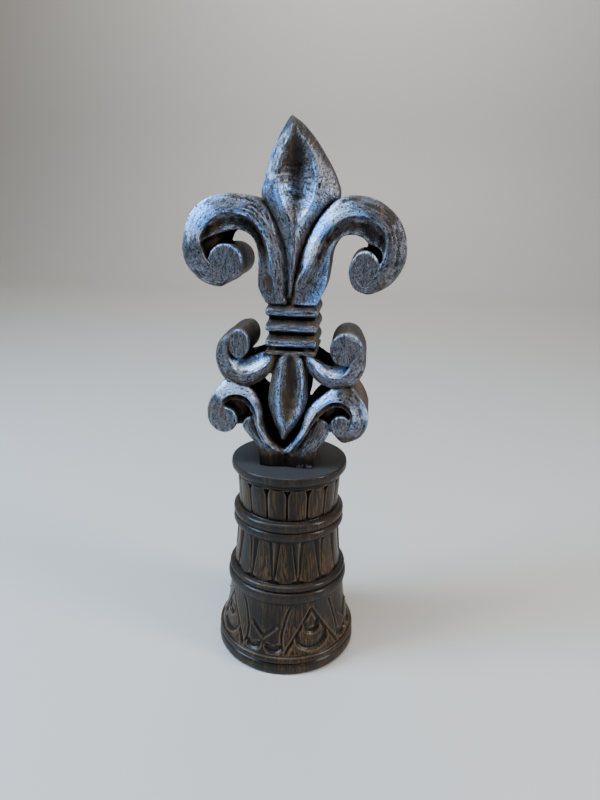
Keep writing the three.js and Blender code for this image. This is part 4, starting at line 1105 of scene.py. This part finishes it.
def glaze_and_shade_group():
    """Black glazing in hollows and creases, broken up by a patchy noise; it also paints the shade that falls
    in them.
    """
    tree, entry, out = group_of(
        "black_glaze_and_shade",
        [("Vector", "NodeSocketVector"), ("Wear", "NodeSocketFloat"), ("Hollow", "NodeSocketFloat")],
        [("Glaze and shade", "NodeSocketFloat")],
    )
    patches = noise_of(tree, entry.outputs["Vector"], 240, 4, 0.65)
    broken = math_node(tree, "SUBTRACT", patches, 0.5)
    crease = math_node(tree, "MAXIMUM", product(tree, entry.outputs["Wear"], -0.5), 0)
    glaze_and_shade = ramp(tree, total(tree, crease, entry.outputs["Hollow"], broken), 0.18, 0.75)
    tree.links.new(glaze_and_shade, out.inputs["Glaze and shade"])
    return tree


def placed_group(tree, group, links):
    node = add(tree, "ShaderNodeGroup", node_tree=group)
    for name, value in links.items():
        tree.links.new(value, node.inputs[name])
    return node


def placed_grain(tree, group, places):
    """Figure and pores of the wood grain."""
    node = placed_group(tree, group, {"Vector": places})
    return node.outputs["Figure"], node.outputs["Pores"]


def placed_glaze_and_shade(tree, group, places):
    """Where black glazing and painted shade go on the piece, from its own wear and hollows."""
    links = {"Vector": places, "Wear": attribute(tree, "wear"), "Hollow": attribute(tree, "hollow")}
    return placed_group(tree, group, links).outputs["Glaze and shade"]


def new_material(name):
    material = bpy.data.materials.new(name)
    material.use_nodes = True
    tree = material.node_tree
    shader = tree.nodes["Principled BSDF"]
    return material, tree, shader


def bumped(tree, shader, height, distance):
    node = add(tree, "ShaderNodeBump", Strength=1, Distance=distance)
    tree.links.new(height, node.inputs["Height"])
    tree.links.new(node.outputs["Normal"], shader.inputs["Normal"])


def silvered_wood(grain, glaze_and_shade):
    """Worn silver leaf over dark brown, blackened in the hollows by glazing and painted shade, and turned
    vivid blue where the leaf is fullest, a painted reflection of the window light.
    """
    material, tree, shader = new_material("silvered_wood")
    places = object_places(tree)
    flow = attribute(tree, "flow", "Vector")
    leaf = attribute(tree, "leaf")
    figure, pores = placed_grain(tree, grain, places)
    # Black glazing in the hollows, which also paints their shade
    glaze_and_shade_left = placed_glaze_and_shade(tree, glaze_and_shade, places)
    streaks = noise_of(tree, stretched(tree, flow, (0.08, 1, 1)), 1300, 4, 0.65)
    speckle = noise_of(tree, places, 800, 3, 0.7)
    pits = noise_of(tree, places, 800, 3, 0.65)
    clouds = noise_of(tree, places, 60, 3, 0.6)
    brush = product(tree, math_node(tree, "SUBTRACT", streaks, 0.5), 1.5)
    flecks = product(tree, math_node(tree, "SUBTRACT", speckle, 0.5), 1.3)
    cover = total(tree, leaf, brush, flecks, product(tree, attribute(tree, "wear"), 0.18))
    # Leaf below zero blackens the wood: glazing and painted shade
    leaf_black_and_shade = math_node(tree, "SUBTRACT", product(tree, leaf, -2), 0.3, clamp=True)
    black = math_node(tree, "ADD", glaze_and_shade_left, leaf_black_and_shade, clamp=True)
    not_black = math_node(tree, "SUBTRACT", 1, black)
    silver = product(tree, ramp(tree, cover, 0.22, 0.48), not_black)
    brown = mix_colour(tree, ramp(tree, figure, 0.43, 0.74), *SILVER_BROWNS)
    steel = mix_colour(tree, ramp(tree, streaks, 0.34, 0.62), *STEEL_GREYS)
    # Where the leaf is fullest it turns vivid blue: a painted reflection of the window light
    painted_window_blue = mix_colour(tree, ramp(tree, clouds, 0.4, 0.62), *WINDOW_REFLECTION_BLUES)
    leaf_tone = mix_colour(tree, ramp(tree, cover, 0.76, 1.04), steel, painted_window_blue)
    leaf_tone = mix_colour(tree, ramp(tree, pits, 0.56, 0.61), leaf_tone, PIT_GREY)
    colour = mix_colour(tree, silver, brown, leaf_tone)
    colour = mix_colour(tree, black, colour, SILVER_BLACK)
    tree.links.new(colour, shader.inputs["Base Color"])
    tree.links.new(product(tree, silver, 0.85), shader.inputs["Metallic"])
    rough = total(tree, 0.48, product(tree, silver, -0.28), product(tree, speckle, 0.26))
    tree.links.new(rough, shader.inputs["Roughness"])
    tree.links.new(product(tree, not_black, 0.4), shader.inputs["Specular IOR Level"])
    relief = total(
        tree, product(tree, streaks, 0.8), product(tree, speckle, 0.6), product(tree, pores, 0.3)
    )
    bumped(tree, shader, relief, 0.45 * MM)
    return material


def brown_wood(grain, glaze_and_shade):
    """Dark brown stained hardwood under satin varnish, black in the carving from glazing and painted shade,
    with a painted sheen on the disc top, and rubbed on the arrises.
    """
    material, tree, shader = new_material("brown_wood")
    places = object_places(tree)
    stained = attribute(tree, "stain")
    figure, pores = placed_grain(tree, grain, places)
    # Black glazing in the carving, which also paints its shade
    glaze_and_shade_left = placed_glaze_and_shade(tree, glaze_and_shade, places)
    arris = ramp(tree, attribute(tree, "wear"), 0.55, 1)
    clouds = noise_of(tree, places, 28, 3, 0.6)
    streak = total(tree, product(tree, figure, 0.65), product(tree, clouds, 0.35))
    colour = mix_colour(tree, ramp(tree, streak, 0.37, 0.68), *PEDESTAL_BROWNS)
    colour = mix_colour(tree, ramp(tree, pores, 0.42, 0.62), PORE_BROWN, colour)
    stain = math_node(tree, "MULTIPLY", stained, 0.55, clamp=True)
    colour = mix_colour(tree, stain, colour, STAIN_BLACK)
    level_top = ramp(tree, stained, 1.05, 1.4)
    # The disc top is lifted to a paler blue-grey, a painted sheen on its dark grey
    colour = mix_colour(tree, product(tree, level_top, 0.8), colour, DISC_TOP_SHEEN_GREY)
    worn = product(tree, arris, math_node(tree, "SUBTRACT", 0.45, stained, clamp=True))
    colour = mix_colour(tree, worn, colour, WORN_BROWN)
    colour = mix_colour(tree, glaze_and_shade_left, colour, PEDESTAL_BLACK)
    tree.links.new(colour, shader.inputs["Base Color"])
    rough = total(tree, 0.28, product(tree, pores, 0.25), product(tree, stained, 0.1))
    tree.links.new(rough, shader.inputs["Roughness"])
    shader.inputs["Specular IOR Level"].default_value = 0.14
    shader.inputs["Coat Roughness"].default_value = 0.15
    coat = product(tree, math_node(tree, "SUBTRACT", 1, level_top), 0.2)
    tree.links.new(coat, shader.inputs["Coat Weight"])
    bumped(tree, shader, total(tree, pores, product(tree, figure, 0.5)), 0.3 * MM)
    return material


def plain(name, colour, roughness):
    material, _, shader = new_material(name)
    shader.inputs["Base Color"].default_value = (*colour, 1)
    shader.inputs["Roughness"].default_value = roughness
    return material


# Stage, light and camera, in metres and degrees

CAMERA_PLACE = (0.05196, -0.42844, 0.33888)
CAMERA_TURN = (5.995, 17.334, -1.462)
FLOOR_COLOUR = (0.62, 0.59, 0.55)


def add_stage():
    """Plain pale floor that sweeps up into a backdrop far behind the finial."""
    half, depth, bend, height = 4.0, 3.0, 0.8, 3.0
    line = [(-half, 0), (depth - bend, 0)]
    for i in range(1, 13):
        turn = math.pi / 2 * i / 12
        line.append((depth - bend + bend * math.sin(turn), bend * (1 - math.cos(turn))))
    line.append((depth, height))
    corners = [(side * half, y, z) for y, z in line for side in (-1, 1)]
    faces = [(2 * i, 2 * i + 1, 2 * i + 3, 2 * i + 2) for i in range(len(line) - 1)]
    floor = new_piece("floor", corners, faces)
    floor.data.materials.append(plain("pale_floor", FLOOR_COLOUR, 0.55))
    smooth_shaded(floor.data)


def add_light(name, place, aim, size, energy, colour):
    data = bpy.data.lights.new(name, "AREA")
    data.shape = "RECTANGLE"
    data.size, data.size_y = size
    data.energy = energy
    data.color = colour
    light = bpy.data.objects.new(name, data)
    direction = Vector(aim) - Vector(place)
    light.matrix_world = Matrix.Translation(place) @ direction.to_track_quat("-Z", "Y").to_matrix().to_4x4()
    bpy.context.scene.collection.objects.link(light)


def add_lights():
    aim = (0, 0, 0.25)
    add_light("window", (-1.05, -0.35, 1.1), aim, (0.6, 0.9), 40, (0.5, 0.73, 1.0))
    add_light("room", (1.2, -0.35, 0.85), aim, (0.35, 0.8), 16, (1.0, 0.96, 0.9))
    add_light("ceiling", (-0.1, -0.25, 1.5), aim, (0.7, 0.5), 11, (0.92, 0.95, 1.0))
    add_light("backdrop", (0, 1.6, 2.4), (0, 3, 0.9), (2.0, 0.8), 40, (1.0, 0.97, 0.93))
    world = bpy.data.worlds.new("studio")
    world.use_nodes = True
    world.node_tree.nodes["Background"].inputs[0].default_value = (0.6, 0.6, 0.62, 1)
    world.node_tree.nodes["Background"].inputs[1].default_value = 0.18
    bpy.context.scene.world = world


def add_camera():
    """Camera at the photograph's viewing angle, for a frame of 600 by 800."""
    yaw, pitch, roll = (math.radians(degrees) for degrees in CAMERA_TURN)
    back = Vector((math.sin(yaw) * math.cos(pitch), -math.cos(yaw) * math.cos(pitch), math.sin(pitch)))
    level = Vector((math.cos(yaw), math.sin(yaw), 0))
    upright = back.cross(level)
    right = level * math.cos(roll) - upright * math.sin(roll)
    up = level * math.sin(roll) + upright * math.cos(roll)
    data = bpy.data.cameras.new("camera")
    data.lens = 27
    data.sensor_width = 36
    camera = bpy.data.objects.new("camera", data)
    turn = Matrix((right, up, back)).transposed().to_4x4()
    camera.matrix_world = Matrix.Translation(CAMERA_PLACE) @ turn
    bpy.context.scene.collection.objects.link(camera)
    bpy.context.scene.camera = camera


def finished(piece, node, material):
    piece.data.materials.clear()
    piece.data.materials.append(material)
    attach(piece, "root")
    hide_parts(node)


grain_nodes = wood_grain_group()
glaze_and_shade_nodes = glaze_and_shade_group()
finished(carved_pedestal(), "pedestal", brown_wood(grain_nodes, glaze_and_shade_nodes))
finished(carved_fleur(), "fleur_de_lis", silvered_wood(grain_nodes, glaze_and_shade_nodes))
add_stage()
add_lights()
add_camera()
